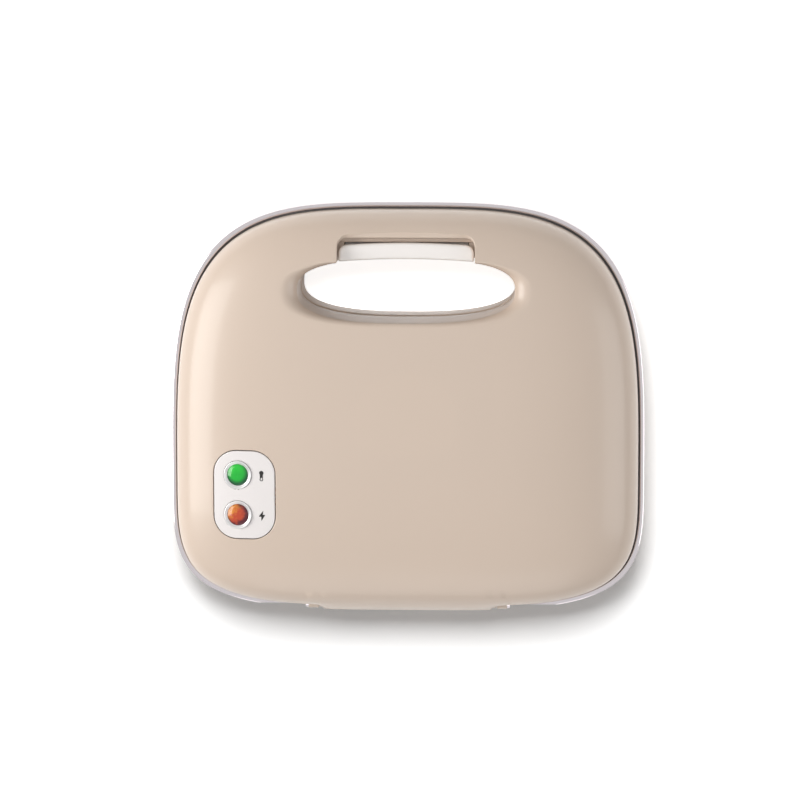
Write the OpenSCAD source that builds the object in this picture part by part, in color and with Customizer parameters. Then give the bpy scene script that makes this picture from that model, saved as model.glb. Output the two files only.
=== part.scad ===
// Sandwich toaster: two pillow-shaped halves hinged at the back, with a hand hole through both at the front,
// a squeeze latch in its front edge, and two heated plates with triangular pockets.
// +X right, +Y back to the hinge, +Z up. The origin is at the middle of the box's bottom face.

/* [Body] */
// Width over the trim rings
body_w = 265; // [255:1:290]
// Depth from the front of the trim rings to the back of the hinge ears
body_d = 229.8; // [226:0.2:250]
// Height from the table to the top of the lid
body_h = 84; // [82:1:100]
// Height of the plane where the halves meet
part_z = 41.5; // [41:0.5:50]
// Gap between the rims of the two halves
part_gap = 1; // [0.6:0.1:1.4]
// Distance behind the middle at which the body is widest
wide_y = 38; // [30:1:44]
// Squareness of the outline's front half
front_sq = 3.6; // [3.2:0.1:4.2]
// Squareness of the outline's back half
rear_sq = 4; // [3.6:0.1:4.6]
// Wall of both shells
wall = 2.5; // [2:0.1:3]
// Straight height of each shell at its rim
skirt_h = 6; // [5.6:0.2:9]
// Squareness of the lid's crown
lid_sq = 3.2; // [2.8:0.1:4]
// Squareness of the base's belly
base_sq = 4.6; // [4:0.1:5.6]

/* [Trim rings] */
// How far the rings stand out from the shells
trim_w = 3.6; // [1.6:0.1:4]
// Height of each ring
trim_h = 5.2; // [4:0.1:5.6]

/* [Hand hole] */
// Length of the hand hole across the body
hole_w = 120; // [110:1:126]
// Depth of the hand hole, front to back
hole_d = 35; // [32:1:37]
// Distance from the front of the trim rings to the hole's middle
hole_inset = 46.9; // [46:0.1:48]
// Squareness of the hole's outline
hole_sq = 2.6; // [2.2:0.1:3.4]
// Width of the rounding at the hole's two ends
rim_r = 9; // [7:0.5:10]
// Width of the lid's rounding in front of the hole, beside the latch
rim_front = 1; // [0.5:0.1:3]
// Width of the lid's rounding along the hole's back
rim_back = 2.6; // [1:0.1:5]

/* [Latch] */
// Width of the latch tab
tab_w = 74.6; // [66:0.2:78]
// Depth of the latch tab, front to back
tab_d = 9; // [8:0.2:10]
// Height of the latch tab
tab_t = 5; // [4:0.2:6]
// How far the tab's top lies below the crown
tab_drop = 6; // [5.5:0.1:7]
// Corner radius of the tab
tab_r = 4.5; // [3:0.1:5]
// Radius of the latch's pivot pin
latch_pin_r = 1.25; // [1:0.05:1.5]
// How far the pivot lies below the tab
latch_pivot_drop = 9.3; // [8.6:0.1:10.4]
// Width of the hook that reaches into the base
hook_w = 26; // [18:1:32]
// Depth that the hook reaches below the meeting plane
hook_drop = 7.5; // [7:0.1:9]
// Thickness of the latch's plate and hook
latch_t = 3; // [2.6:0.1:3.4]

/* [Hinge] */
// Radius of the base's hinge ears
ear_r = 3.5; // [3.2:0.1:4]
// Radius of the lid's hinge barrel
barrel_r = 3; // [2.7:0.1:3.1]
// Half length of the barrel, from the middle to an ear
barrel_half = 50; // [44:1:52]
// Length of each ear along the axis
ear_len = 5.6; // [4.6:0.2:6.4]
// Radius of the hinge pins
hinge_pin_r = 1.5; // [1.2:0.05:1.7]
// Length of pin inside the barrel
pin_grip = 12; // [8:1:20]

/* [Indicators] */
// Distance from the right side of the trim rings to the lamps
lamp_side = 39.7; // [38.5:0.1:44.5]
// Distance from the back of the body to the point midway between the lamps
lamp_back = 69.7; // [67:0.1:73]
// Distance between the two lamps
lamp_pitch = 22.3; // [20:0.1:24]
// Radius of each lens
lens_r = 6; // [5:0.1:6.2]
// Outer radius of each bezel
bezel_r = 7.9; // [7.4:0.1:8.4]
// Width of the indicator panel
panel_w = 34; // [32:0.5:36]
// Depth of the indicator panel, front to back
panel_d = 49; // [47:0.5:52]
// Corner radius of the panel
panel_r = 12.8; // [9:0.2:14]
// Thickness of the panel
panel_t = 1.8; // [1.4:0.1:2]

/* [Cooking plates] */
// Distance from the side of the trim rings to each cooking plate
plate_side = 19.5; // [18.5:0.5:25]
// Distance from the hand hole to each cooking plate
plate_gap = 14.5; // [13.5:0.5:19]
// Distance from the back of the body to each cooking plate
plate_back = 24.9; // [23.9:0.1:30]
// Thickness of the plate's flange
plate_t = 3; // [2.4:0.1:3.2]
// Depth of a pocket
pocket_h = 9; // [7:0.5:9.5]
// Width of the sealing land round each sandwich
land_w = 7; // [5:0.5:9]
// Metal under a pocket
pocket_wall = 2.2; // [1.8:0.1:2.4]
// Radius of the tubular heating element
element_r = 3.25; // [3:0.05:3.4]

/* [Feet and screws] */
// Height of the base's belly above the table
foot_h = 5; // [4:0.5:6]
// Radius of each rubber foot
foot_r = 8.5; // [7:0.5:10]
// Radius of the screw threads
screw_r = 1.5; // [1.3:0.1:1.7]
// Radius of the screw heads
screw_head_r = 3; // [2.6:0.1:3.2]

/* [Cord inlet] */
// Distance of the cord gland to the right of the middle
gland_x = 30; // [20:1:36]
// Height of the cord gland above the table
gland_z = 22; // [21:0.5:23]
// Radius of the gland's bore
gland_bore_r = 3.6; // [3:0.1:4]

/* [Fits] */
// Gap between pieces that sit in each other
fit = 0.2; // [0.15:0.05:0.3]
// Radial clearance of a pin in the piece that turns on it
run = 0.05; // [0.03:0.01:0.08]
// Clearance between moving pieces
clear = 0.4; // [0.35:0.05:0.5]

/* [Hidden] */

// Colours
beige = "#d4c2b4";
chrome = "#c9ccce";
ivory = "#f2edea";
dark = "#3a3734";
steel = "#9a9ca0";

// Levels and places that follow from the body's size
lid_z0 = part_z + part_gap / 2;
base_z1 = part_z - part_gap / 2;
lid_h = body_h - lid_z0;
base_h = base_z1 - foot_h;
hole_y = body_d / 2 - hole_inset;
lamp_x = body_w / 2 - lamp_side;
lamp_y = body_d / 2 - lamp_back;
plate_front = hole_inset + hole_d / 2 + plate_gap;
plate_w = body_w - 2 * plate_side;
plate_d = body_d - plate_front - plate_back;
plate_y = (plate_front - plate_back) / 2;

// Shapes that are stacked or run round a curve
outline_steps = 96;
dome_steps = 9;
rim_steps = 9;
hole_steps = 64;
edge = 1; // how far a cutter reaches past the face that it cuts

// ---- outline and crown ------------------------------------------------------------------------------------

function pw(v, n) = pow(abs(v), n);

// Corner points of the body's outline, moved in by inset: a superellipse squarer behind than in front
function outline_pt(t, inset) =
    let (s = sin(t), c = cos(t), n = s < 0 ? front_sq : rear_sq,
         a = body_w / 2 - inset,
         b = body_d / 2 - inset + (s < 0 ? wide_y : -wide_y),
         q = pow(pw(c / a, n) + pw(s / b, n), -1 / n))
    [q * c, wide_y + q * s];
function outline(inset, shift = 0) =
    [for (i = [0:outline_steps - 1]) outline_pt(360 * (i + shift) / outline_steps, inset)];

// Share of the outline's size at which it passes through a point
function inside(x, y, inset) =
    let (yy = y - wide_y, n = yy < 0 ? front_sq : rear_sq,
         a = body_w / 2 - inset, b = body_d / 2 - inset + (yy < 0 ? wide_y : -wide_y))
    pw(x / a, n) + pw(yy / b, n) <= 1;
function rho_at(x, y, inset, lo = 0.001, hi = 1.5, left = 20) =
    let (mid = (lo + hi) / 2)
    left == 0 ? mid : inside(x / mid, y / mid, inset) ? rho_at(x, y, inset, lo, mid, left - 1)
                                                      : rho_at(x, y, inset, mid, hi, left - 1);

// Height of the lid's crown over a point, and its slopes there
function crown(x, y) =
    lid_z0 + skirt_h + (lid_h - skirt_h) * pow(max(0, 1 - pow(rho_at(x, y, trim_w), lid_sq)), 1 / lid_sq);
function crown_dx(x, y) = (crown(x + 1, y) - crown(x - 1, y)) / 2;
function crown_dy(x, y) = (crown(x, y + 1) - crown(x, y - 1)) / 2;

// A pillow: a straight skirt below z = skirt_h, and over it the outline drawn in along a superellipse. Every
// other ring above the skirt is turned half a step, so that no two facets lie in one plane.
module pillow(inset, h, sq, below = 0) {
    n = outline_steps;
    rings = [outline(inset), outline(inset, 0.5)];
    levels = concat([[1, -below, 0]], [for (i = [0:dome_steps - 1])
        let (t = 90 * i / dome_steps)
        [pow(cos(t), 2 / sq), skirt_h + (h - skirt_h) * pow(sin(t), 2 / sq), i % 2]]);
    top = len(levels) * n;
    points = concat([for (l = levels) for (p = rings[l[2]]) [p[0] * l[0], p[1] * l[0], l[1]]], [[0, 0, h]]);
    walls = [for (k = [0:len(levels) - 2]) for (i = [0:n - 1])
        let (j = (i + 1) % n, a = k * n, b = a + n)
        for (f = levels[k][2] == 0 ? [[a + i, b + i, a + j], [a + j, b + i, b + j]]
                                   : [[a + i, b + i, b + j], [a + i, b + j, a + j]]) f];
    cap = [for (i = [0:n - 1]) [top - n + i, top, top - n + (i + 1) % n]];
    polyhedron(points, concat([[for (i = [0:n - 1]) i]], walls, cap), convexity = 4);
}

function squared(v, n) = sign(v) * pow(abs(v), 2 / n);
// Outline of the hand hole, grown to the sides, the front and the back
function hole_pts(grow) = [for (i = [0:hole_steps - 1])
    let (t = 360 * i / hole_steps, deep = hole_d / 2 + (t > 180 ? grow[1] : grow[2]))
    [(hole_w / 2 + grow[0]) * squared(cos(t), hole_sq), -hole_y + deep * squared(sin(t), hole_sq)]];
function evenly(grow) = [grow, grow, grow];
function rounded_pts(w, d, r, steps = 6) = [for (q = [0:3]) for (i = [0:steps])
    let (t = 90 * q + 90 * i / steps, sx = q == 0 || q == 3 ? 1 : -1, sy = q < 2 ? 1 : -1)
    [sx * (w / 2 - r) + r * cos(t), sy * (d / 2 - r) + r * sin(t)]];

module slab(points, z0, z1) {
    translate([0, 0, z0]) linear_extrude(z1 - z0) polygon(points);
}

// The hand hole as a cutter: a straight shaft whose rounded rim ends in a lip, up to a sloping top
rim_lip = 58; // slope of the rounding at the lip
module hand_hole(bottom, top, slope, grow) {
    sliver = 0.01;
    deep = rim_r * tan(rim_lip / 2);
    slab(hole_pts(evenly(0)), bottom, top - deep + sliver);
    multmatrix([[1, 0, 0, 0], [0, 1, 0, 0], [0, slope, 1, slope * hole_y], [0, 0, 0, 1]])
        for (i = [0:rim_steps - 1]) hull() {
            for (t = [rim_lip * i / rim_steps, rim_lip * (i + 1) / rim_steps])
                slab(hole_pts(grow * (1 - sin(t) / sin(rim_lip))),
                     top - deep * (1 - cos(t)) / (1 - cos(rim_lip)) - (t == rim_lip ? rim_r : 0),
                     top - deep * (1 - cos(t)) / (1 - cos(rim_lip)) + sliver);
        }
    multmatrix([[1, 0, 0, 0], [0, 1, 0, 0], [0, slope, 1, slope * hole_y], [0, 0, 0, 1]])
        slab(hole_pts(grow), top, top + rim_r);
}

module mirrored_at(z) {
    translate([0, 0, 2 * z]) mirror([0, 0, 1]) children();
}

module bar(x0, x1, r, y, z) {
    translate([x0, y, z]) rotate([0, 90, 0]) cylinder(h = x1 - x0, r = r, $fn = 32);
}

// ---- places -----------------------------------------------------------------------------------------------

// Hinge: the axis runs along X in the meeting plane, and nothing else of the halves passes behind it
hinge_y = body_d / 2 - ear_r;
rear_y = hinge_y - fit / 2;
ear_x0 = barrel_half + clear;
ear_x1 = ear_x0 + ear_len;
cap_t = 1.6;
cap_r = ear_r - 0.4;
notch_x = ear_x1 + cap_t + 2 * clear;
saddle_r = barrel_r + clear;

// Latch: it stands in a channel in the front edge of the hand hole, with a sloping thumb scoop in front
tab_swing = 2.8;
scoop_run = 4.6;
scoop_corner = 5;
hole_front = -hole_y - hole_d / 2;
tab_rear = hole_front + 0.5;
tab_front = tab_rear - tab_d;
tab_top = crown(0, (tab_front + tab_rear) / 2) - tab_drop;
pivot_y = hole_front - 5;
pivot_z = tab_top - tab_t - latch_pivot_drop;
channel_w = tab_w + 2 * (clear + fit);
channel_front = tab_front - tab_swing;
scoop_front = channel_front - scoop_run;
scoop_step = 1.6; // how far the scoop's low end lies below the tab's top
scoop_slope = scoop_run / (crown(0, scoop_front) - tab_top + scoop_step);
shelf_z1 = tab_top - tab_t - 1.2; // a shelf under the tab's front edge closes the gap in front of the tab
shelf_z0 = shelf_z1 - 1.5;
bracket_w = 3.4;
plate_half = channel_w / 2 - bracket_w - clear;
hook_z = part_z - hook_drop;
nose_t = 2.2;
keeper_t = 2;
hook_swing = 2.3;
nose_tip = hole_front - latch_t - hook_swing;
keeper_y1 = nose_tip - clear;
keeper_y0 = keeper_y1 - 4.6;
keeper_z0 = hook_z + nose_t + clear;
slot_w = hook_w + 2 * (clear + fit);
slot_z0 = hook_z - 3;
spring_r = latch_pin_r + 1.6;
spring_half = 8;

// Plates, frames and their screws
frame_t = 2;
frame_top = base_z1 - 0.5;
plate_top = part_z - 0.8;
lip_w = 3;
seat_t = 2.2;
frame_wall = 2.4;
boss_r = 4;
boss_seat = 24;
screw_seat = 19;
// From the plate's corners: front pair inward and forward, back pair inward and back
screw_reach = [13, 10, 33, 8.5];
screw_places = [for (s = [1, -1]) for (p = [
    [plate_w / 2 - screw_reach[0], plate_y - plate_d / 2 - screw_reach[1]],
    [plate_w / 2 - screw_reach[2], plate_y + plate_d / 2 + screw_reach[3]]]) [s * p[0], p[1]]];
foot_inset = [46.5, 42.9, 44.5, 40.9]; // from the body's sides: front pair, then back pair
foot_places = [for (s = [1, -1]) for (p = [
    [body_w / 2 - foot_inset[0], foot_inset[1] - body_d / 2],
    [body_w / 2 - foot_inset[2], body_d / 2 - foot_inset[3]]]) [s * p[0], p[1]]];
half_w = (plate_w - 3 * land_w) / 2;
half_d = plate_d - 2 * land_w;
ridge_w = 5;
element_z = plate_top - pocket_h - pocket_wall - element_r - 0.1;
element_reach = plate_w / 2 - 20;
element_pitch = plate_d / 2;
bend_r = element_pitch / 2;
tail_x = element_reach - 26;
clamp_t = 1.2;
reflector_z = element_z - element_r - clamp_t;
reflector_t = 0.8;

// ---- base -------------------------------------------------------------------------------------------------

// Wall that is left standing round a cut, inside a shell's cavity
module base_columns() {
    slab(hole_pts(evenly(wall)), 0, part_z);
    translate([-slot_w / 2 - wall, keeper_y0 - wall, slot_z0 - wall])
        cube([slot_w + 2 * wall, -hole_y - keeper_y0, part_z]);
    bar(-barrel_half - wall, barrel_half + wall, saddle_r + wall, hinge_y, part_z);
    for (p = screw_places) translate([p[0], p[1], 0]) cylinder(h = boss_seat, r = boss_r, $fn = 24);
    for (p = foot_places) translate([p[0], p[1], 0]) cylinder(h = foot_h + 4, r = foot_r, $fn = 24);
    translate([gland_x, rear_y, gland_z]) rotate([90, 0, 0]) cylinder(h = 6, r = gland_bore_r + 4, $fn = 24);
    translate([block_x, block_y, 0]) cube([block_w, block_d, block_z]);
}

module base_belly() mirrored_at(base_z1 / 2) pillow(trim_w, base_h, base_sq);

module base_shell() color(beige) difference() {
    union() {
        base_belly();
        for (p = foot_places) translate([p[0], p[1], foot_h - 1]) cylinder(h = 8, r = foot_r + 1.5, $fn = 32);
        for (s = [-1, 1]) standing_heel(s);
    }
    difference() {
        mirrored_at(base_z1 / 2) pillow(trim_w + wall, base_h - wall, base_sq, edge);
        base_columns();
    }
    mirrored_at(base_z1 / 2) hand_hole(-edge, base_h - 0.6, 0.06, evenly(rim_r));
    // the flat back, behind which only the heels stand
    translate([-body_w, rear_y, gland_z + 9]) cube([2 * body_w, body_d, body_h]);
    for (s = [-1, 1]) translate([s * (heel_x1 + body_w) - body_w, rear_y, -edge])
        cube([2 * body_w, body_d, body_h]);
    translate([-heel_x0, rear_y, -edge]) cube([2 * heel_x0, body_d, body_h]);
    // room for the barrel, the ears and the hook
    bar(-barrel_half - clear, barrel_half + clear, saddle_r, hinge_y, part_z);
    for (s = [-1, 1]) translate([s * (ear_x0 + ear_len / 2), 0, 0]) ear_block(fit);
    bar(-notch_x, notch_x, cap_r + fit, hinge_y, part_z);
    translate([-slot_w / 2, keeper_y0, slot_z0]) cube([slot_w, -hole_y - keeper_y0, part_z]);
    // screws, feet and gland
    for (p = screw_places) translate([p[0], p[1], 0]) {
        translate([0, 0, -edge]) cylinder(h = screw_seat + edge, r = screw_head_r + 2 * fit, $fn = 32);
        translate([0, 0, -edge]) cylinder(h = body_h, r = screw_r + fit, $fn = 24);
    }
    for (p = foot_places) translate([p[0], p[1], -edge])
        cylinder(h = foot_h + edge + 1, r = foot_peg_r + fit / 2, $fn = 24);
    translate([gland_x, rear_y + edge, gland_z]) rotate([90, 0, 0])
        cylinder(h = 30, r = gland_bore_r + 2 + fit / 2, $fn = 32);
}

// Two heels on the base's back, on which the closed toaster stands upright
heel_w = 10;
heel_d = 20;
heel_ease = 2;
heel_x0 = ear_x1 + cap_t + fit;
heel_x1 = heel_x0 + heel_w;
heel_z0 = 12;
heel_z1 = gland_z + 7;
module standing_heel(side) translate([side > 0 ? heel_x0 : -heel_x1, body_d / 2, 0]) hull() {
    translate([0, -heel_d / 2, heel_z0 + heel_ease]) cube([heel_w, heel_d / 2, heel_z1 - heel_z0 - 2 * heel_ease]);
    translate([0, -heel_d, heel_z0]) cube([heel_w, heel_d - heel_ease, heel_z1 - heel_z0]);
}

module trim_ring(z0) color(chrome) difference() {
    slab(outline(0), z0, z0 + trim_h);
    slab(outline(trim_w), z0 - edge, z0 + trim_h + edge);
    translate([-body_w, rear_y, 0]) cube([2 * body_w, body_d, body_h]);
    translate([-heel_x1, 0, 0]) cube([2 * heel_x1, body_d, body_h]);
}
module base_trim_ring() trim_ring(base_z1 - trim_h);
module lid_trim_ring() trim_ring(lid_z0);

// Frame round a cooking plate: a flat panel, a wall round the plate with a lip to carry it, and screw bosses
frame_inset = trim_w + wall + fit;
module frame_panel() difference() {
    union() {
        slab(outline(frame_inset), frame_top - frame_t, frame_top);
        translate([0, plate_y, 0])
            slab(rounded_pts(plate_w + 2 * (fit + frame_wall), plate_d + 2 * (fit + frame_wall), 12),
                 plate_top - plate_t - seat_t, frame_top);
    }
    translate([0, plate_y, 0]) slab(rounded_pts(plate_w + 2 * fit, plate_d + 2 * fit, 10),
                                    plate_top - plate_t, part_z);
    translate([0, plate_y, 0]) slab(rounded_pts(plate_w - 2 * lip_w, plate_d - 2 * lip_w, 8), 0, part_z);
    slab(hole_pts(evenly(wall + fit)), 0, part_z);
    translate([-body_w, hinge_y - saddle_r - wall - fit, 0]) cube([2 * body_w, body_d, body_h]);
}
module frame_bosses(depth, bore_depth) for (p = screw_places) translate([p[0], p[1], 0]) difference() {
    translate([0, 0, frame_top - depth]) cylinder(h = depth - fit, r = boss_r, $fn = 32);
    translate([0, 0, frame_top - depth - edge]) cylinder(h = bore_depth + edge, r = screw_r, $fn = 32);
}

module lower_plate_frame() color(dark) difference() {
    union() {
        frame_panel();
        frame_bosses(frame_top - boss_seat, 11);
    }
    translate([-slot_w / 2 - wall - fit, keeper_y0 - wall - fit, 0])
        cube([slot_w + 2 * (wall + fit), -hole_y - keeper_y0, body_h]);
}

// ---- cooking plates ---------------------------------------------------------------------------------------

// One triangular pocket, or the metal round it when grown
pocket_r = 9;
pocket_floor_r = 5;
pocket_draw = [4.2, 7]; // how far the floor's corners lie inside the rim's: the right-angled one, the sharp ones
module pocket(grow, depth) {
    far = [half_w, half_d] - 1.5 * [ridge_w, ridge_w] - [pocket_r, pocket_r];
    rim = [[pocket_r, pocket_r], [far[0], pocket_r], [pocket_r, far[1]]];
    floor = rim + [[pocket_draw[0], pocket_draw[0]], [-pocket_draw[1], pocket_draw[0]],
                   [pocket_draw[0], -pocket_draw[1]]];
    hull() {
        for (p = rim) translate([p[0], p[1], plate_top - 0.01]) cylinder(h = 0.01, r = pocket_r + grow, $fn = 24);
        for (p = floor) translate([p[0], p[1], plate_top - depth - grow])
            cylinder(h = 0.01, r = pocket_floor_r + grow, $fn = 24);
    }
}
module pockets(grow, depth) for (s = [-1, 1]) translate([s * (half_w + land_w) / 2, plate_y, 0])
    for (turn = [0, 180]) rotate(turn) mirror([s > 0 ? 0 : 1, 0, 0])
        translate([-half_w / 2, -half_d / 2, 0]) pocket(grow, depth);

module cooking_plate() difference() {
    union() {
        translate([0, plate_y, 0]) slab(rounded_pts(plate_w, plate_d, 10), plate_top - plate_t, plate_top);
        pockets(pocket_wall, pocket_h);
    }
    translate([0, 0, 0.02]) pockets(0, pocket_h);
}

// Bent tube: two long runs joined by a half turn at one end, with tails that turn down at the other
module heating_element_tube() {
    for (s = [-1, 1]) translate([0, plate_y + s * bend_r, element_z]) {
        translate([-element_reach + bend_r, 0, 0]) rotate([0, 90, 0])
            cylinder(h = tail_x + element_reach - bend_r, r = element_r, $fn = 32);
        translate([tail_x, 0, 0]) sphere(r = element_r, $fn = 32);
        translate([tail_x, 0, 0]) rotate([0, 90, 0]) cylinder(h = 9, r = 1.4, $fn = 24);
        translate([tail_x + 9, -3.15, -0.4]) cube([7, 6.3, 0.8]);
    }
    translate([-element_reach + bend_r, plate_y, element_z]) rotate([0, 0, 90])
        rotate_extrude(angle = 180, $fn = 64) translate([bend_r, 0]) circle(r = element_r, $fn = 32);
}

clamp_x = [-element_reach / 2, element_reach / 3];
module element_clamps() for (x = clamp_x, s = [-1, 1]) translate([x, plate_y + s * bend_r, element_z])
    rotate([90, 0, 90]) translate([0, 0, -4]) difference() {
        linear_extrude(8) union() {
            circle(r = element_r + clamp_t, $fn = 32);
            translate([-element_r - 6, -element_r - clamp_t]) square([2 * element_r + 12, clamp_t]);
        }
        translate([0, 0, -edge]) cylinder(h = 10, r = element_r, $fn = 32);
        translate([-element_r - 2, 0, -edge]) cube([2 * element_r + 4, 10, 10]);
    }

// A sheet-metal pan under the element, hung by its flange from the lip of the plate frame
pan_w = plate_w - 2 * lip_w;
pan_d = plate_d - 2 * lip_w;
pan_top = plate_top - plate_t - seat_t;
module reflector() translate([0, plate_y, 0]) difference() {
    union() {
        slab(rounded_pts(pan_w, pan_d, 8), reflector_z - reflector_t, pan_top);
        slab(rounded_pts(pan_w + 4, pan_d + 4, 10), pan_top - reflector_t, pan_top);
    }
    slab(rounded_pts(pan_w - 2 * reflector_t, pan_d - 2 * reflector_t, 8 - reflector_t), reflector_z, part_z);
}

// ---- lid --------------------------------------------------------------------------------------------------

module lamp_pair() for (s = [-1, 1]) at_crown(lamp_x, lamp_y) translate([0, s * lamp_pitch / 2, 0]) children();
// Moves a piece onto the crown at a point, square to the surface
module at_crown(x, y) {
    dx = crown_dx(x, y);
    dy = crown_dy(x, y);
    translate([x, y, crown(x, y)]) rotate([atan(dy), -atan(dx * cos(atan(dy))), 0]) children();
}

panel_x = lamp_x - 3.7;
module panel_prism(grow) translate([panel_x, lamp_y, 0])
    slab(rounded_pts(panel_w + 2 * grow, panel_d + 2 * grow, panel_r + grow, 8), part_z + 10, body_h + edge);

module lid_pillow(deeper) translate([0, 0, lid_z0]) pillow(trim_w + deeper, lid_h - deeper, lid_sq, deeper);

// The lid's back bulges over the barrel, and leans into the crown above it
cowl_h = 16;
cowl_r = 2;
module cowl() hull() {
    translate([-barrel_half, hinge_y - 2, lid_z0 + 1]) cube([2 * barrel_half, 2 + barrel_r + 0.2, 2]);
    for (s = [-1, 1]) {
        bar(s * (barrel_half - 6) - 6, s * (barrel_half - 6) + 6, cowl_r, hinge_y + barrel_r - cowl_r, lid_z0 + 5);
        translate([s * (barrel_half - 14), rear_y - 12, lid_z0 + cowl_h]) sphere(r = 3 * cowl_r, $fn = 24);
    }
}

module lid_columns() {
    slab(hole_pts(evenly(wall)), 0, body_h);
    slab(hole_pts([wall + rim_r / 2, wall, wall]), body_h - 3 * wall - rim_r / 2, body_h);
    translate([-channel_w / 2 - wall, scoop_front - wall, 0])
        cube([channel_w + 2 * wall, -hole_y - scoop_front, body_h]);
    for (p = screw_places) translate([p[0], p[1], part_z + (part_z - screw_boss_z)])
        cylinder(h = body_h, r = boss_r, $fn = 24);
    difference() {
        panel_prism(3);
        lid_pillow(wall + 2);
    }
}
screw_boss_z = frame_top - frame_t - 6;
screw_head_h = 1.8;
lid_screw_z = 2 * part_z - frame_top + screw_head_h + 0.2;

module lid_shell() color(beige) difference() {
    union() {
        difference() {
            lid_pillow(0);
            translate([-body_w, rear_y, 0]) cube([2 * body_w, body_d, body_h]);
        }
        cowl();
    }
    difference() {
        lid_pillow(wall);
        lid_columns();
    }
    hand_hole(lid_z0 - edge, crown(hole_w / 2 + rim_r, -hole_y), 0.13, [rim_r, rim_front, rim_back]);
    // channel and thumb scoop of the latch
    scoop(0, 0, shelf_z0);
    scoop(-tab_swing, 0, body_h);
    scoop(0, shelf_z1, body_h);
    hull() for (rise = [0, 2 * tab_drop])
        scoop(rise * scoop_slope, tab_top - scoop_step + rise, tab_top + rise);
    // window and seat of the indicator panel
    difference() {
        panel_prism(fit);
        lid_pillow(panel_t + fit);
    }
    panel_prism(-2);
    // room for the hinge
    bar(-barrel_half - fit, barrel_half + fit, barrel_r + fit, hinge_y, part_z);
    for (s = [-1, 1]) translate([s * (barrel_half + notch_x) / 2, 0, 0])
        bar((barrel_half - notch_x) / 2, (notch_x - barrel_half) / 2, ear_r + clear, hinge_y, part_z);
    translate([-barrel_half - fit, tongue_y - fit, part_z])
        cube([2 * (barrel_half + fit), hinge_y - tongue_y, tongue_z1 - part_z + fit]);
    for (p = screw_places) translate([p[0], p[1], 0])
        cylinder(h = 2 * part_z - screw_boss_z + 10, r = screw_r + fit, $fn = 24);
}

// A cutter from the middle of the hand hole forward to the channel's front, moved on by run
module scoop(run, z0, z1) translate([0, (channel_front - run - hole_y) / 2, 0])
    slab(rounded_pts(channel_w, -hole_y - channel_front + run, scoop_corner), z0, z1);

module upper_plate_frame() color(dark) difference() {
    mirrored_at(part_z) union() {
        frame_panel();
        for (p = screw_places) translate([p[0], p[1], screw_boss_z])
            cylinder(h = frame_top - frame_t - screw_boss_z + 1, r = boss_r, $fn = 32);
    }
    translate([-channel_w / 2 - wall - fit, scoop_front - wall - fit, 0])
        cube([channel_w + 2 * (wall + fit), -hole_y - scoop_front, body_h]);
    for (p = screw_places) translate([p[0], p[1], 0]) {
        cylinder(h = body_h, r = screw_r + fit, $fn = 32);
        cylinder(h = lid_screw_z, r = screw_head_r + fit, $fn = 32);
    }
}

// ---- hinge ------------------------------------------------------------------------------------------------

tongue_z0 = part_z + part_gap / 2 + 0.3;
tongue_z1 = tongue_z0 + 1.4;
tongue_y = hinge_y - saddle_r - wall;
module lid_hinge_barrel() color(beige) difference() {
    union() {
        bar(-barrel_half, barrel_half, barrel_r, hinge_y, part_z);
        translate([-barrel_half + 4, tongue_y, tongue_z0])
            cube([2 * barrel_half - 8, hinge_y - tongue_y, tongue_z1 - tongue_z0]);
    }
    for (s = [-1, 1]) bar(s > 0 ? barrel_half - pin_grip - 1 : -barrel_half - edge,
                          s > 0 ? barrel_half + edge : -barrel_half + pin_grip + 1,
                          hinge_pin_r + run, hinge_y, part_z);
}

ear_d = 12;
ear_h = 16;
module ear_block(grow) {
    translate([-ear_len / 2 - grow, hinge_y - ear_d - grow, part_z - ear_h - grow])
        cube([ear_len + 2 * grow, ear_d + ear_r + 2 * grow, ear_h - part_gap + 2 * grow]);
    bar(-ear_len / 2 - grow, ear_len / 2 + grow, ear_r + grow, hinge_y, part_z);
}

module base_hinge_bracket() color(beige) difference() {
    for (s = [-1, 1]) translate([s * (ear_x0 + ear_len / 2), 0, 0]) {
        bar(-ear_len / 2, ear_len / 2, ear_r, hinge_y, part_z);
        translate([-ear_len / 2, hinge_y - ear_d, part_z - ear_h])
            cube([ear_len, ear_d, frame_top - frame_t - fit - part_z + ear_h]);
        translate([-ear_len / 2, hinge_y - 2, part_z - 10]) cube([ear_len, 2 + ear_r, 10]);
    }
    bar(-ear_x1 - edge, ear_x1 + edge, hinge_pin_r, hinge_y, part_z);
}

module hinge_pins() color(chrome) for (s = [-1, 1]) {
    bar(s > 0 ? barrel_half - pin_grip : -ear_x1, s > 0 ? ear_x1 : -barrel_half + pin_grip,
        hinge_pin_r, hinge_y, part_z);
    bar(s > 0 ? ear_x1 : -ear_x1 - cap_t, s > 0 ? ear_x1 + cap_t : -ear_x1, cap_r, hinge_y, part_z);
}

// ---- latch ------------------------------------------------------------------------------------------------

// The lever's tab, plate, pivot barrels and hook, drawn at the pose where the nose is just clear of the keeper
module latch_lever() color(ivory) difference() {
    union() {
        translate([0, (tab_front + tab_rear) / 2, 0])
            slab(rounded_pts(tab_w, tab_d, tab_r), tab_top - tab_t, tab_top);
        translate([-plate_half, hole_front - latch_t, lid_z0 + 1])
            cube([2 * plate_half, latch_t, tab_top - tab_t - lid_z0]);
        bar(-plate_half, plate_half, latch_pin_r + 2, pivot_y, pivot_z);
        translate([-plate_half, pivot_y, pivot_z - 1.5]) cube([2 * plate_half, hole_front - pivot_y, 3]);
        translate([-hook_w / 2, hole_front - latch_t, hook_z]) cube([hook_w, latch_t, pivot_z - hook_z]);
        translate([-hook_w / 2, nose_tip, hook_z]) cube([hook_w, hole_front - nose_tip, nose_t]);
    }
    bar(-plate_half - edge, plate_half + edge, latch_pin_r + run, pivot_y, pivot_z);
    bar(-spring_half - clear, spring_half + clear, spring_r + clear, pivot_y, pivot_z);
}

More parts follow.
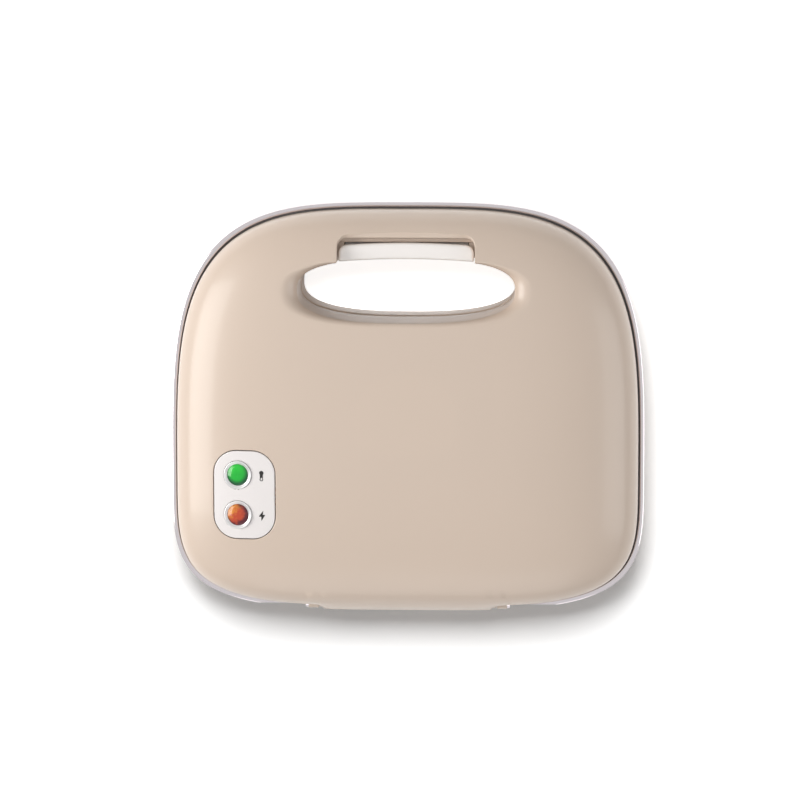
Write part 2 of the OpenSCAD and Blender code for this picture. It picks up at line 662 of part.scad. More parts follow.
module latch_brackets() color(dark) for (s = [-1, 1]) difference() {
    intersection() {
        translate([s > 0 ? channel_w / 2 - bracket_w : -channel_w / 2, pivot_y - 4.5, pivot_z - 6])
            cube([bracket_w, 9, 12]);
        scoop(0, 0, body_h);
    }
    bar(s * channel_w / 2 - 5, s * channel_w / 2 + 5, latch_pin_r, pivot_y, pivot_z);
}

module latch_pivot_pin() color(steel)
    bar(-channel_w / 2 + 0.4, channel_w / 2 - 0.4, latch_pin_r, pivot_y, pivot_z);

module latch_spring() color(steel) difference() {
    bar(-spring_half, spring_half, spring_r, pivot_y, pivot_z);
    bar(-spring_half - edge, spring_half + edge, spring_r - 0.8, pivot_y, pivot_z);
}

module latch_keeper() color(steel)
    translate([-slot_w / 2, keeper_y0, keeper_z0]) cube([slot_w, keeper_y1 - keeper_y0, keeper_t]);

// ---- indicators -------------------------------------------------------------------------------------------

module indicator_panel() color(ivory) difference() {
    rim = rounded_pts(panel_w, panel_d, panel_r, 8);
    n = len(rim);
    shares = [1, 0.85, 0.6, 0.3];
    m = len(shares);
    skin = function (drop) [for (s = shares) for (p = rim)
        let (x = panel_x + p[0] * s, y = lamp_y + p[1] * s) [x, y, crown(x, y) - drop]];
    mid = [panel_x, lamp_y, crown(panel_x, lamp_y)];
    top = [for (k = [0:m - 2]) for (i = [0:n - 1])
        let (j = (i + 1) % n) for (f = [[k * n + i, (k + 1) * n + i, k * n + j],
                                        [k * n + j, (k + 1) * n + i, (k + 1) * n + j]]) f];
    middle = [for (i = [0:n - 1]) [(m - 1) * n + i, m * n, (m - 1) * n + (i + 1) % n]];
    lift = m * n + 1;
    under = [for (f = concat(top, middle)) [f[2] + lift, f[1] + lift, f[0] + lift]];
    side = [for (i = [0:n - 1]) let (j = (i + 1) % n) for (f = [[i, j, i + lift], [j, j + lift, i + lift]]) f];
    polyhedron(concat(skin(0), [mid], skin(panel_t), [mid - [0, 0, panel_t]]),
               concat(top, middle, under, side), convexity = 4);
    lamp_pair() translate([0, 0, -10]) cylinder(h = 20, r = bezel_r + fit, $fn = 48);
}

bezel_top = 0.7;
bezel_low = -3.4;
module bezel(side) color(chrome) at_crown(lamp_x, lamp_y) translate([0, side * lamp_pitch / 2, 0])
    rotate_extrude($fn = 64) polygon([[lens_r + fit, bezel_low], [bezel_r, bezel_low], [bezel_r, bezel_top - 0.5],
        [bezel_r - 0.5, bezel_top], [bezel_r - 0.9, bezel_top], [lens_r + fit, bezel_top - 1]]);
module green_bezel() bezel(-1);
module amber_bezel() bezel(1);

lens_rise = 1.6;
module lens(side) at_crown(lamp_x, lamp_y) translate([0, side * lamp_pitch / 2, 0]) rotate_extrude($fn = 64)
    polygon(concat([[0, bezel_low], [lens_r, bezel_low]],
        [for (i = [0:6]) let (t = 15 * i) [lens_r * cos(t), bezel_top - 0.8 + lens_rise * sin(t)]]));
module green_lens() color("#2bbf4a") lens(-1);
module amber_lens() color("#c8452b") lens(1);

module lamp_holder() color(dark) at_crown(lamp_x, lamp_y) {
    difference() {
        translate([-8, -lamp_pitch / 2 - 8, bezel_low - 2]) cube([16, lamp_pitch + 16, 2]);
        for (s = [-1, 1]) translate([0, s * lamp_pitch / 2, bezel_low - 10]) cylinder(h = 12, r = 2.8, $fn = 32);
    }
}

module neon_lamps() color("#e8b9a0") at_crown(lamp_x, lamp_y) for (s = [-1, 1])
    translate([0, s * lamp_pitch / 2, bezel_low - 11]) {
        cylinder(h = 8, r = 2.4, $fn = 32);
        translate([0, 0, 8]) sphere(r = 2.4, $fn = 32);
    }

// ---- inside pieces ----------------------------------------------------------------------------------------

module lower_plate() color("#2a2928") cooking_plate();
module upper_plate() color("#2a2928") mirrored_at(part_z) cooking_plate();
module lower_heating_element() color(steel) heating_element_tube();
module upper_heating_element() color(steel) mirrored_at(part_z) heating_element_tube();
module lower_element_clamps() color(steel) element_clamps();
module upper_element_clamps() color(steel) mirrored_at(part_z) element_clamps();
module lower_reflector() color(chrome) reflector();
module upper_reflector() color(chrome) mirrored_at(part_z) reflector();

foot_peg_r = 3;
module rubber_feet() color(dark) for (p = foot_places) translate([p[0], p[1], 0]) rotate_extrude($fn = 48)
    polygon([[0, 0], [foot_r - 1, 0], [foot_r, 1], [foot_r, foot_h - 1], [foot_peg_r, foot_h - 1],
             [foot_peg_r, foot_h + 1], [0, foot_h + 1]]);

// A pan-head screw: head at z = 0 and below, thread up
module screw(length) rotate_extrude($fn = 32)
    polygon([[0, -screw_head_h], [screw_head_r - 0.8, -screw_head_h], [screw_head_r, -1], [screw_head_r, 0],
             [screw_r, 0], [screw_r, length - 1], [0, length]]);
module base_screws() color(steel) for (p = screw_places) translate([p[0], p[1], screw_seat]) screw(14);
module lid_screws() color(steel) for (p = screw_places)
    translate([p[0], p[1], lid_screw_z]) screw(12);

module cord_gland() color(dark) translate([gland_x, rear_y, gland_z]) rotate([90, 0, 0]) rotate_extrude($fn = 48)
    polygon([[gland_bore_r, -1.6], [gland_bore_r + 2.4, -1.6], [gland_bore_r + 3, -1], [gland_bore_r + 3, 0],
             [gland_bore_r + 2, 0], [gland_bore_r + 2, 9], [gland_bore_r, 9]]);

block_w = 26;
block_d = 11;
block_h = 10;
block_x = gland_x - 16 - block_w;
block_y = rear_y - block_d - 9.3;
block_z = 15;
module terminal_block() color(ivory) translate([block_x, block_y, block_z]) difference() {
    cube([block_w, block_d, block_h]);
    for (k = [0:2]) translate([5 + 8 * k, block_d / 2, 3]) cylinder(h = block_h, r = 2, $fn = 24);
}

thermostat_x = 30;
thermostat_r = 8;
module thermostat() color(dark) translate([thermostat_x, plate_y, reflector_z]) {
    cylinder(h = element_z + element_r - reflector_z, r = thermostat_r, $fn = 40);
    translate([-1.5 * thermostat_r, -3, 0]) cube([3 * thermostat_r, 6, 1]);
}

fuse_r = 2;
module thermal_fuse() color(chrome) translate([-thermostat_x, plate_y + 8, reflector_z + fuse_r])
    rotate([0, 90, 0]) cylinder(h = 14, r = fuse_r, $fn = 24);

module earth_tag() color(chrome) translate([-2 * thermostat_x, plate_y, reflector_z]) difference() {
    cube([12, 6.3, 0.8]);
    translate([3.4, 3.15, -edge]) cylinder(h = 3, r = 1.6, $fn = 24);
}

// A wire along a route of points, as one tube with flat sides
wire_r = 1.3;
function heading(route, i) =
    let (a = route[max(i - 1, 0)], b = route[min(i + 1, len(route) - 1)]) (b - a) / norm(b - a);
module wire(route, sides = 8) {
    rings = [for (i = [0:len(route) - 1])
        let (d = heading(route, i), u = cross(d, [0, 0.2, 1]) / norm(cross(d, [0, 0.2, 1])), v = cross(d, u))
        for (k = [0:sides - 1]) route[i] + wire_r * (cos(360 * k / sides) * u + sin(360 * k / sides) * v)];
    last = (len(route) - 1) * sides;
    walls = [for (i = [0:len(route) - 2]) for (k = [0:sides - 1])
        let (a = i * sides + k, b = i * sides + (k + 1) % sides)
        for (f = [[a, b, a + sides], [b, b + sides, a + sides]]) f];
    polyhedron(rings, concat(walls, [[for (k = [sides - 1:-1:0]) k]], [[for (k = [0:sides - 1]) last + k]]));
}
module base_wiring() color("#b0452e") for (z = [gland_z - 1.8, gland_z + 1.8])
    wire([[gland_x - 1, rear_y - 10.5, z], [gland_x - 8, block_y + 7, z],
          [block_x + block_w + fit, block_y + block_d / 2, z]]);
module lid_wiring() color("#b0452e") for (k = [0, 1]) let (z = body_h - 18)
    wire([[lamp_x - 4, lamp_y - 4 + 8 * k, z], [lamp_x - 14, lamp_y - 2 + 6 * k, z + 0.5],
          [lamp_x - 32.8, lamp_y + 8 + 4 * k, z + 2], [lamp_x - 72.8, lamp_y + 30 + 4 * k, z]]);

// ---- the pieces -------------------------------------------------------------------------------------------

base_shell();
base_trim_ring();
lower_plate_frame();
lower_plate();
lower_heating_element();
lower_reflector();
lower_element_clamps();
thermostat();
thermal_fuse();
terminal_block();
earth_tag();
base_wiring();
cord_gland();
rubber_feet();
base_screws();
base_hinge_bracket();
hinge_pins();
latch_keeper();
lid_shell();
lid_trim_ring();
upper_plate_frame();
upper_plate();
upper_heating_element();
upper_reflector();
upper_element_clamps();
lid_hinge_barrel();
indicator_panel();
green_lens();
amber_lens();
green_bezel();
amber_bezel();
neon_lamps();
lamp_holder();
lid_screws();
lid_wiring();
latch_brackets();
latch_pivot_pin();
latch_spring();
latch_lever();
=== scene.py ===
"""A sandwich toaster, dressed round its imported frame: run it in Blender to build pieces, finishes and studio."""

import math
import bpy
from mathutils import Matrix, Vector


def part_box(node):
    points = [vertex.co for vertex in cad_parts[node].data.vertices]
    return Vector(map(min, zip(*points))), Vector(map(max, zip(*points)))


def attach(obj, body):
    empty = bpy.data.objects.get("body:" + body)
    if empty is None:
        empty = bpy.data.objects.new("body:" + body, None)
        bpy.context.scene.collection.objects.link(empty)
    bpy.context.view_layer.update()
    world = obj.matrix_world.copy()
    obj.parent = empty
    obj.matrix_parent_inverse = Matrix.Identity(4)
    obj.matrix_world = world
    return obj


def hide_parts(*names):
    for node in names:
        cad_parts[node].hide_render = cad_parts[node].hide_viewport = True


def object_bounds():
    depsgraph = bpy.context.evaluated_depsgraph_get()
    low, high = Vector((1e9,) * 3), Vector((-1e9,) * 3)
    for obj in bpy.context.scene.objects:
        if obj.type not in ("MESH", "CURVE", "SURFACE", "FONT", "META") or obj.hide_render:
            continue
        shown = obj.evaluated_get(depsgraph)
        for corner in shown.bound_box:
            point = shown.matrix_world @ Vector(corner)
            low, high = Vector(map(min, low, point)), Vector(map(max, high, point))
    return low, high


bl_info = {
    "name": "Sandwich Toaster",
    "version": (1, 0, 0),
    "blender": (4, 5, 0),
    "location": "View3D > Sidebar > Toaster",
    "description": "Builds the shells, trim, latch, lamps, plates and finishes of a sandwich toaster",
    "category": "Add Mesh",
}

import bmesh
import bpy
import numpy as np
from bpy.props import FloatProperty, FloatVectorProperty, PointerProperty
from mathutils import Matrix, Vector

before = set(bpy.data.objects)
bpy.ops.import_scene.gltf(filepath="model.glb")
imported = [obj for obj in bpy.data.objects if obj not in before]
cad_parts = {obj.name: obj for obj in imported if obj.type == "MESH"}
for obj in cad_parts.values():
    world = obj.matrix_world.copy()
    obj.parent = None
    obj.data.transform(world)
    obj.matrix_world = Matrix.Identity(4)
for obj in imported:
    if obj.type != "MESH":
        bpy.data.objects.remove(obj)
cad_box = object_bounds()

MM = 0.001
TURN_SHARE = 0.85  # how far rim points are matched to the hand hole by angle rather than by length
LIP = math.radians(58)  # slope at which the hand hole's rounding ends in a lip
LIP_ROUND = 0.7
SCOOP_BOW = 1.7  # how far the thumb scoop's front bows back towards its ends
SCOOP_CORNER = 5.4
CHANNEL_FRONT = -96.6
BACK_Y = 100.0  # points beyond it belong to the back, where the hinge is
SHOULDER_SHARE = 0.93  # share of the outline's size at which the shoulder ends and the dome begins
FINE = 6000  # points of a curve that is only measured along

# Sizes repeated from the part's source, in millimetres
PART_Z = 41.5
PART_GAP = 1.0
FOOT_H = 5.0
SKIRT_H = 6.0
WIDE_Y = 38.0
FRONT_SQ = 3.6
REAR_SQ = 4.0
LID_SQ = 3.2
BASE_SQ = 4.6
TRIM_W = 3.6
TRIM_H = 5.2
RING_END = 67.8
WALL = 2.4
HOLE_W, HOLE_D, HOLE_Y, HOLE_SQ = 120.0, 35.0, 68.0, 2.6
TAB_W, TAB_D, TAB_T, TAB_DROP, TAB_R = 74.6, 9.0, 5.0, 6.0, 4.5
TAB_BOW = 1.5
LINING_REACH = 0.35  # how far each shell's lining of the hand hole runs past the shell's edge
CHANNEL_HALF = 37.9
EAR_X0, EAR_X1, EAR_H = 50.1, 58.4, 3.4  # notch in the lid's back over each hinge ear
BAY_X0, BAY_X1, BAY_X2 = 50.2, 56.2, 58.0  # steps of the base's back edge: the ear, the gap beside it
BAY_Z, GAP_Z, BARREL_Z = 25.3, 38.1, 46.5  # down to the ear's foot, down beside it, up to the barrel
HEEL_X0, HEEL_Z0, HEEL_Z1 = 57.8, 12.2, 28.8
HOOK_HALF, HOOK_Y0, HOOK_Y1, HOOK_Z0, HOOK_Z1, HOOK_WALL = 13.6, -96.2, -87.5, 31.0, 40.6, 1.4
LEVER_HALF, SLEEVE_R, SPRING_HALF, PIVOT_H, PIVOT_BACK = 34.1, 3.25, 8.6, 15.5, 5.0
NOSE_HALF, NOSE_REACH, NOSE_T = 13.0, 2.3, 2.2
WELL_R, GLAND_R, SEAT_Z = 3.7, 5.8, 18.0
REAR_Y = 111.3
LAMP_X, LAMP_Y, LAMP_PITCH = 92.8, 45.2, 22.3
LENS_R, BEZEL_R, LAMP_FOOT = 6.0, 7.9, -3.4
PANEL_X, PANEL_W, PANEL_D, PANEL_R = 89.1, 34.0, 49.0, 12.8
PLATE_W, PLATE_D, PLATE_Y, PLATE_T = 226.0, 126.0, 27.0, 3.0
PLATE_TOP = 40.7
LAND_W, POCKET_H, RIDGE_W, POCKET_WALL = 7.0, 9.0, 5.0, 2.2
POCKET_R = 9.0
LOW_SCREW_Z, HIGH_SCREW_Z = 19.0, 44.5
SCREWS = [(100, -46), (-100, -46), (80, 98.5), (-80, 98.5)]
FEET = [(86, -72), (-86, -72), (88, 74), (-88, 74)]
GLAND_X, GLAND_Z = 30.0, 22.0
THERMOMETER, BOLT = (79.5, 34.4), (79.3, 56.6)  # middles of the panel's symbols
SYMBOL_RISE, SYMBOL_T = 0.04, 0.06

# The photo: its width and the body's scale in it, the body's place off its middle, and its camera's axes
PHOTO_W, PHOTO_SCALE = 800, 1782.6  # pixels, and pixels per metre at the meeting plane
SHIFT_RIGHT, SHIFT_UP = -8, 6.1  # pixels
PHOTO_RIGHT, PHOTO_UP = (-1, 0, -0.04), (0, -0.9925, -0.122)
SENSOR_W = 36

HALF_W = cad_box[1][0] / MM
HALF_D = cad_box[1][1] / MM
TOP_Z = cad_box[1][2] / MM
LID_Z0 = PART_Z + PART_GAP / 2
BASE_Z1 = PART_Z - PART_GAP / 2
LID_DOME = TOP_Z - LID_Z0 - SKIRT_H
BASE_DOME = BASE_Z1 - FOOT_H - SKIRT_H


# ---- settings ---------------------------------------------------------------------------------------------


def length(name, description, default):
    """A length setting, in metres."""
    return FloatProperty(name=name, description=description, default=default, unit="LENGTH", precision=5)


def colour(name, description, default):
    """A colour setting, as linear red, green and blue."""
    return FloatVectorProperty(name=name, description=description, default=default, subtype="COLOR",
                               min=0, max=1)


def power(name, description, default):
    """A light's power in watts, or the strength of the surroundings."""
    return FloatProperty(name=name, description=description, default=default, min=0)


class ToasterSizes(bpy.types.PropertyGroup):
    rim_side: length("Rim at the sides", "Width of the hand hole's rounding at its two ends", 0.009)
    rim_front: length("Rim at the front", "Width of the hand hole's rounding beside the latch", 0.0010)
    rim_back: length("Rim at the back", "Width of the hand hole's rounding along its back", 0.0026)
    rim_below: length("Rim below", "Width of the hand hole's rounding in the base", 0.009)
    scoop_front: length("Thumb scoop", "How far in front of the body's middle the thumb scoop begins", 0.0999)
    groove: length("Trim groove", "Gap between a trim ring and the shell beside it", 0.0011)
    panel_gap: length("Panel gap", "Gap round the indicator panel", 0.0005)
    lens_rise: length("Lens rise", "How far a lens stands above its bezel's dish", 0.0013)
    pocket_round: length("Pocket rounding", "Rounding of a pocket's rim", 0.0016)


class ToasterColours(bpy.types.PropertyGroup):
    shell: colour("Shells", "Satin plastic of the shells", (0.668, 0.546, 0.452))
    ivory: colour("Panel", "Indicator panel", (0.84, 0.80, 0.79))
    cream: colour("Latch", "Latch", (0.94, 0.90, 0.87))
    # The chrome's grey is its own; its faint pink tint is a painted reflection of the beige shells.
    chrome: colour("Chrome", "Trim rings and bezels", (0.72, 0.67, 0.69))
    frame_dark: colour("Plate frames", "Heat-proof plastic round the plates", (0.045, 0.042, 0.038))
    coating: colour("Coating", "Non-stick coating of the plates", (0.022, 0.021, 0.021))
    steel: colour("Steel", "Screws, pins and heating elements", (0.50, 0.50, 0.50))
    rubber: colour("Rubber", "Feet and cord gland", (0.018, 0.018, 0.018))
    green: colour("Ready lamp", "Green lens", (0.006, 0.46, 0.036))
    amber: colour("Power lamp", "Amber lens", (0.52, 0.058, 0.018))
    mark: colour("Symbols", "Printed symbols", (0.012, 0.010, 0.010))


class ToasterStage(bpy.types.PropertyGroup):
    distance: length("Camera distance", "From the camera to the meeting plane of the halves", 2.0)
    key: power("Key light", "Power of the soft light from the photo's left", 22.5)
    top: power("Top light", "Power of the soft light overhead", 7.6)
    fill: power("Fill light", "Power of the soft light from the photo's right", 7.6)
    back: power("Back light", "Power of the soft light behind the hinge", 3.6)
    paper: power("Floor light", "Power of the light on the paper floor", 34.0)
    sky: power("Surroundings", "Strength of the even light all round", 0.21)


# ---- curves and surfaces of the body ----------------------------------------------------------------------


def body_share(x, y, inset=TRIM_W):
    """Share of the outline's size at which it passes through a point, found by halving."""
    x, y = np.broadcast_arrays(np.abs(np.asarray(x, float)), np.asarray(y, float))
    low, high = np.full(x.shape, 1e-3), np.full(x.shape, 1.6)
    for _ in range(36):
        mid = (low + high) / 2
        back = y / mid - WIDE_Y
        reach = np.where(back < 0, HALF_D + WIDE_Y, HALF_D - WIDE_Y) - inset
        power = np.where(back < 0, FRONT_SQ, REAR_SQ)
        inside = (x / mid / (HALF_W - inset)) ** power + (np.abs(back) / reach) ** power <= 1
        high, low = np.where(inside, mid, high), np.where(inside, low, mid)
    return (low + high) / 2


def crown(x, y):
    """Height of the lid over a point."""
    return LID_Z0 + SKIRT_H + LID_DOME * np.maximum(0, 1 - body_share(x, y) ** LID_SQ) ** (1 / LID_SQ)


def belly(x, y):
    """Height of the base's underside at a point."""
    return BASE_Z1 - SKIRT_H - BASE_DOME * np.maximum(0, 1 - body_share(x, y) ** BASE_SQ) ** (1 / BASE_SQ)


def outline(degrees, inset):
    """Points of the body's outline, moved in by inset, at angles round its widest line."""
    t = np.radians(degrees)
    power = np.where(np.sin(t) < 0, FRONT_SQ, REAR_SQ)
    reach = np.where(np.sin(t) < 0, HALF_D + WIDE_Y, HALF_D - WIDE_Y) - inset
    size = (np.abs(np.cos(t) / (HALF_W - inset)) ** power + np.abs(np.sin(t) / reach) ** power) ** (-1 / power)
    return np.stack([size * np.cos(t), WIDE_Y + size * np.sin(t)], 1)


def hole_curve(degrees, grow=(0, 0, 0)):
    """Points of the hand hole's outline, grown outward to the sides, the front and the back."""
    t = np.radians(degrees)
    squared = lambda v: np.sign(v) * np.abs(v) ** (2 / HOLE_SQ)
    deep = HOLE_D / 2 + np.where(t < 0, grow[1], grow[2])
    return np.stack([(HOLE_W / 2 + grow[0]) * squared(np.cos(t)), -HOLE_Y + deep * squared(np.sin(t))], 1)


def rim_shares(mouth):
    """How far along the half outline the points lie that stand at the mouth's angles round the hand hole."""
    curve = outline(np.linspace(-90, 90, FINE), TRIM_W)
    turn = lambda points: np.arctan2(points[:, 0], -HOLE_Y - points[:, 1])
    return np.interp(turn(mouth), turn(curve), shares_of(curve))


def hole_pair(start, count, grow):
    """Matching points of the hand hole's grown outline and of its shaft, from an angle to the back middle."""
    t = np.linspace(start, 90, 4000)
    outer = hole_curve(t, grow)
    even = shares_of(outer) + rim_shares(outer)
    t = np.interp(np.linspace(even[0], even[-1], count), even, t)
    outer, inner = hole_curve(t, grow), hole_curve(t)
    outer[-1, 0] = inner[-1, 0] = 0
    return outer, inner


def spaced(points, count=None, shares=None):
    """Points spread evenly, or at the given shares, along a curve."""
    points = np.asarray(points, float)
    run = np.concatenate([[0], np.cumsum(np.linalg.norm(np.diff(points, axis=0), axis=1))])
    at = (np.linspace(0, 1, count) if shares is None else shares) * run[-1]
    return np.stack([np.interp(at, run, points[:, k]) for k in range(points.shape[1])], 1)


def shares_of(points):
    """How far along a curve each of its points lies, from 0 to 1."""
    run = np.concatenate([[0], np.cumsum(np.linalg.norm(np.diff(points, axis=0), axis=1))])
    return run / run[-1]


def arc_of(radius, degrees, centre=(0, 0)):
    """Points of a circle at the given angles."""
    return [(centre[0] + radius * math.cos(t), centre[1] + radius * math.sin(t)) for t in np.radians(degrees)]


def rounded(width, depth, radius, steps=8):
    """Corner points of a rounded rectangle, anticlockwise."""
    turns = np.arange(steps + 1) * 90 / steps
    corners = [(1, 1, 0), (-1, 1, 90), (-1, -1, 180), (1, -1, 270)]
    return [point for sx, sy, start in corners
            for point in arc_of(radius, start + turns, (sx * (width / 2 - radius), sy * (depth / 2 - radius)))]


def at_lamps(along=0.0):
    """The place on the crown midway between the lamps, square to the surface, moved along the pair."""
    x, y, z = LAMP_X, LAMP_Y, float(crown(LAMP_X, LAMP_Y))
    dx = float(crown(x + 1, y) - crown(x - 1, y)) / 2
    dy = float(crown(x, y + 1) - crown(x, y - 1)) / 2
    tip = math.atan(dy)
    lean = -math.atan(dx * math.cos(tip))
    return (Matrix.Translation((x, y, z)) @ Matrix.Rotation(lean, 4, "Y") @ Matrix.Rotation(tip, 4, "X")
            @ Matrix.Translation((0, along, 0)))


# ---- mesh helpers -----------------------------------------------------------------------------------------


def everything(bm):
    """All vertices, edges and faces of a mesh."""
    return bm.verts[:] + bm.edges[:] + bm.faces[:]


def thread(bm, points, closed=False):
    """A line of vertices and edges through points."""
    verts = [bm.verts.new(tuple(p)) for p in points]
    edges = [bm.edges.new(pair) for pair in zip(verts, verts[1:])]
    if closed:
        edges.append(bm.edges.new((verts[-1], verts[0])))
    return verts, edges


def drawn_out(bm, verts, edges, points):
    """Extrudes a line of edges once, and puts its new vertices at the points."""
    made = bmesh.ops.extrude_edge_only(bm, edges=edges)["geom"]
    fresh = {g for g in made if isinstance(g, bmesh.types.BMVert)}
    verts = [next(e.other_vert(v) for e in v.link_edges if e.other_vert(v) in fresh) for v in verts]
    for vert, point in zip(verts, points):
        vert.co = point
    edges = [g for g in made if isinstance(g, bmesh.types.BMEdge) and all(v in fresh for v in g.verts)]
    return verts, edges


def lofted(bm, rows, closed=False):
    """Draws the first row of points out through all the others."""
    verts, edges = thread(bm, rows[0], closed)
    first = edges
    for row in rows[1:]:
        verts, edges = drawn_out(bm, verts, edges, row)
    return first, edges


def spun(bm, profile, steps=64, place=None):
    """Turns a profile of radius and height about the Z axis, then moves it to its place."""
    before = set(bm.verts)
    verts, edges = thread(bm, [(r, 0, z) for r, z in profile])
    bmesh.ops.spin(bm, geom=verts + edges, cent=(0, 0, 0), axis=(0, 0, 1), angle=2 * math.pi, steps=steps,
                   use_merge=True)
    fresh = [v for v in bm.verts if v not in before]
    bmesh.ops.remove_doubles(bm, verts=fresh, dist=0.001)
    fresh = [v for v in bm.verts if v not in before]
    if place is not None:
        bmesh.ops.transform(bm, matrix=place, verts=fresh)
    return fresh


def block(bm, low, high, round_off=0.0, steps=3):
    """A box from its low corner to its high one, with rounded edges."""
    size = [h - l for l, h in zip(low, high)]
    middle = [(h + l) / 2 for l, h in zip(low, high)]
    verts = bmesh.ops.create_cube(bm, size=1)["verts"]
    bmesh.ops.scale(bm, vec=size, verts=verts)
    bmesh.ops.translate(bm, vec=middle, verts=verts)
    if round_off:
        edges = list({e for v in verts for e in v.link_edges})
        bmesh.ops.bevel(bm, geom=edges, offset=round_off, offset_type="OFFSET", affect="EDGES", segments=steps,
                        profile=0.5, material=-1)


def rod(bm, x0, x1, radius, y, z, round_off=0.3):
    """A round bar along X."""
    turn = Matrix.Translation((x0, y, z)) @ Matrix.Rotation(math.pi / 2, 4, "Y")
    run = x1 - x0
    spun(bm, [(0, 0), (radius - round_off, 0), (radius, round_off), (radius, run - round_off),
              (radius - round_off, run), (0, run)], 48, turn)


def covered(bm, corners, flat, near):
    """Cuts the faces near a convex polygon along its sides, and returns those inside it."""
    corners = [Vector(c) for c in corners]
    middle = sum(corners, Vector((0, 0))) / len(corners)
    for a, b in zip(corners, corners[1:] + corners[:1]):
        side = (b - a).orthogonal()
        side = side if side.dot(middle - a) < 0 else -side
        point, normal = Vector((0, 0, 0)), Vector((0, 0, 0))
        for k, axis in enumerate(flat):
            point[axis], normal[axis] = a[k], side[k]
        normal.normalize()
        geom = list({g for f in near for g in (*f.verts, *f.edges, f)})
        made = bmesh.ops.bisect_plane(bm, geom=geom, dist=1e-5, plane_co=point, plane_no=normal)["geom"]
        near = [g for g in made if isinstance(g, bmesh.types.BMFace)
                and normal.dot(g.calc_center_median() - point) < 0]
    return near


def open_window(bm, corners, flat, depth_axis, towards):
    """Cuts a convex hole and returns the edges round it."""
    corners = [Vector(c) for c in corners]
    middle = sum(corners, Vector((0, 0))) / len(corners)
    reach = max((c - middle).length for c in corners) + 6
    near = [f for f in bm.faces if f.normal[depth_axis] * towards > 0.2
            and (Vector([f.calc_center_median()[k] for k in flat]) - middle).length < reach]
    gone = covered(bm, corners, flat, near)
    bmesh.ops.delete(bm, geom=gone, context="FACES")
    loose = [e for e in bm.edges if e.is_boundary and all(
        (Vector([v.co[k] for k in flat]) - middle).length < reach - 5.9 for v in e.verts)]
    return loose, middle


def sunk(bm, edges, steps, flat, depth_axis, middle, half):
    """Draws the edges of a hole in by inset and down by depth, step by step; a step may name a fixed depth."""
    for inset, depth, fixed in steps:
        made = bmesh.ops.extrude_edge_only(bm, edges=edges)["geom"]
        fresh = {g for g in made if isinstance(g, bmesh.types.BMVert)}
        for v in fresh:
            for k, axis in enumerate(flat):
                v.co[axis] = middle[k] + (v.co[axis] - middle[k]) * (1 - inset / half[k])
            v.co[depth_axis] = v.co[depth_axis] + depth if fixed is None else fixed
        edges = [g for g in made if isinstance(g, bmesh.types.BMEdge) and all(v in fresh for v in g.verts)]
    return edges


def placed(name, bm, finishes, body, angle=35.0, tidy=True):
    """Makes a piece, in metres, from a mesh in millimetres, and lets it ride on a body."""
    if tidy:
        bmesh.ops.remove_doubles(bm, verts=bm.verts, dist=0.002)
        bmesh.ops.recalc_face_normals(bm, faces=bm.faces)
    bmesh.ops.scale(bm, vec=(MM, MM, MM), verts=bm.verts)
    mesh = bpy.data.meshes.new(name)
    bm.to_mesh(mesh)
    bm.free()
    mesh.shade_smooth()
    mesh.set_sharp_from_angle(angle=math.radians(angle))
    for finish in finishes:
        mesh.materials.append(finish)
    piece = bpy.data.objects.new(name, mesh)
    bpy.context.scene.collection.objects.link(piece)
    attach(piece, body)
    return piece


def thickened(piece, thickness, offset=-1.0):
    """Gives an open skin its wall."""
    wall = piece.modifiers.new("wall", "SOLIDIFY")
    wall.thickness = thickness * MM
    wall.offset = offset
    wall.use_even_offset = False


# ---- finishes ---------------------------------------------------------------------------------------------


def group_of(name, inputs, outputs):
    """A shader node group with named inputs and outputs."""
    tree = bpy.data.node_groups.new(name, "ShaderNodeTree")
    for label, kind, default in inputs:
        socket = tree.interface.new_socket(label, in_out="INPUT", socket_type=kind)
        socket.default_value = default
    for label, kind in outputs:
        tree.interface.new_socket(label, in_out="OUTPUT", socket_type=kind)
    return tree, tree.nodes.new("NodeGroupInput"), tree.nodes.new("NodeGroupOutput")


def node(tree, kind, **values):
    """A node with its values; a key of the form in_N sets an input by its place."""
    made = tree.nodes.new(kind)
    for key, value in values.items():
        if key.startswith("in_"):
            made.inputs[int(key[3:])].default_value = value
        else:
            setattr(made, key, value)
    return made


def wired(tree, *pairs):
    """Joins nodes: each pair names a node and its output, then a node and its input."""
    for source, output, target, socket in pairs:
        tree.links.new(source.outputs[output], target.inputs[socket])


def moulded_grain():
    """Fine texture of moulded plastic and rubber: a height and a mask."""
    tree, source, result = group_of("MouldedGrain", [("Scale", "NodeSocketFloat", 900.0),
                                                     ("Softness", "NodeSocketFloat", 0.6)],
                                    [("Height", "NodeSocketFloat"), ("Mask", "NodeSocketFloat")])
    place = node(tree, "ShaderNodeTexCoord")
    fine = node(tree, "ShaderNodeTexNoise", in_3=3.0, in_4=0.6)
    pits = node(tree, "ShaderNodeTexVoronoi", feature="F1")
    both = node(tree, "ShaderNodeMix", data_type="FLOAT")
    ease = node(tree, "ShaderNodeMapRange", in_1=0.3, in_2=0.75)
    wired(tree, (place, "Object", fine, "Vector"), (place, "Object", pits, "Vector"),
                (source, "Scale", fine, "Scale"), (source, "Scale", pits, "Scale"),
                (source, "Softness", both, 0), (pits, "Distance", both, 2), (fine, 0, both, 3),
                (both, 0, ease, 0), (both, 0, result, "Height"), (ease, 0, result, "Mask"))
    return tree


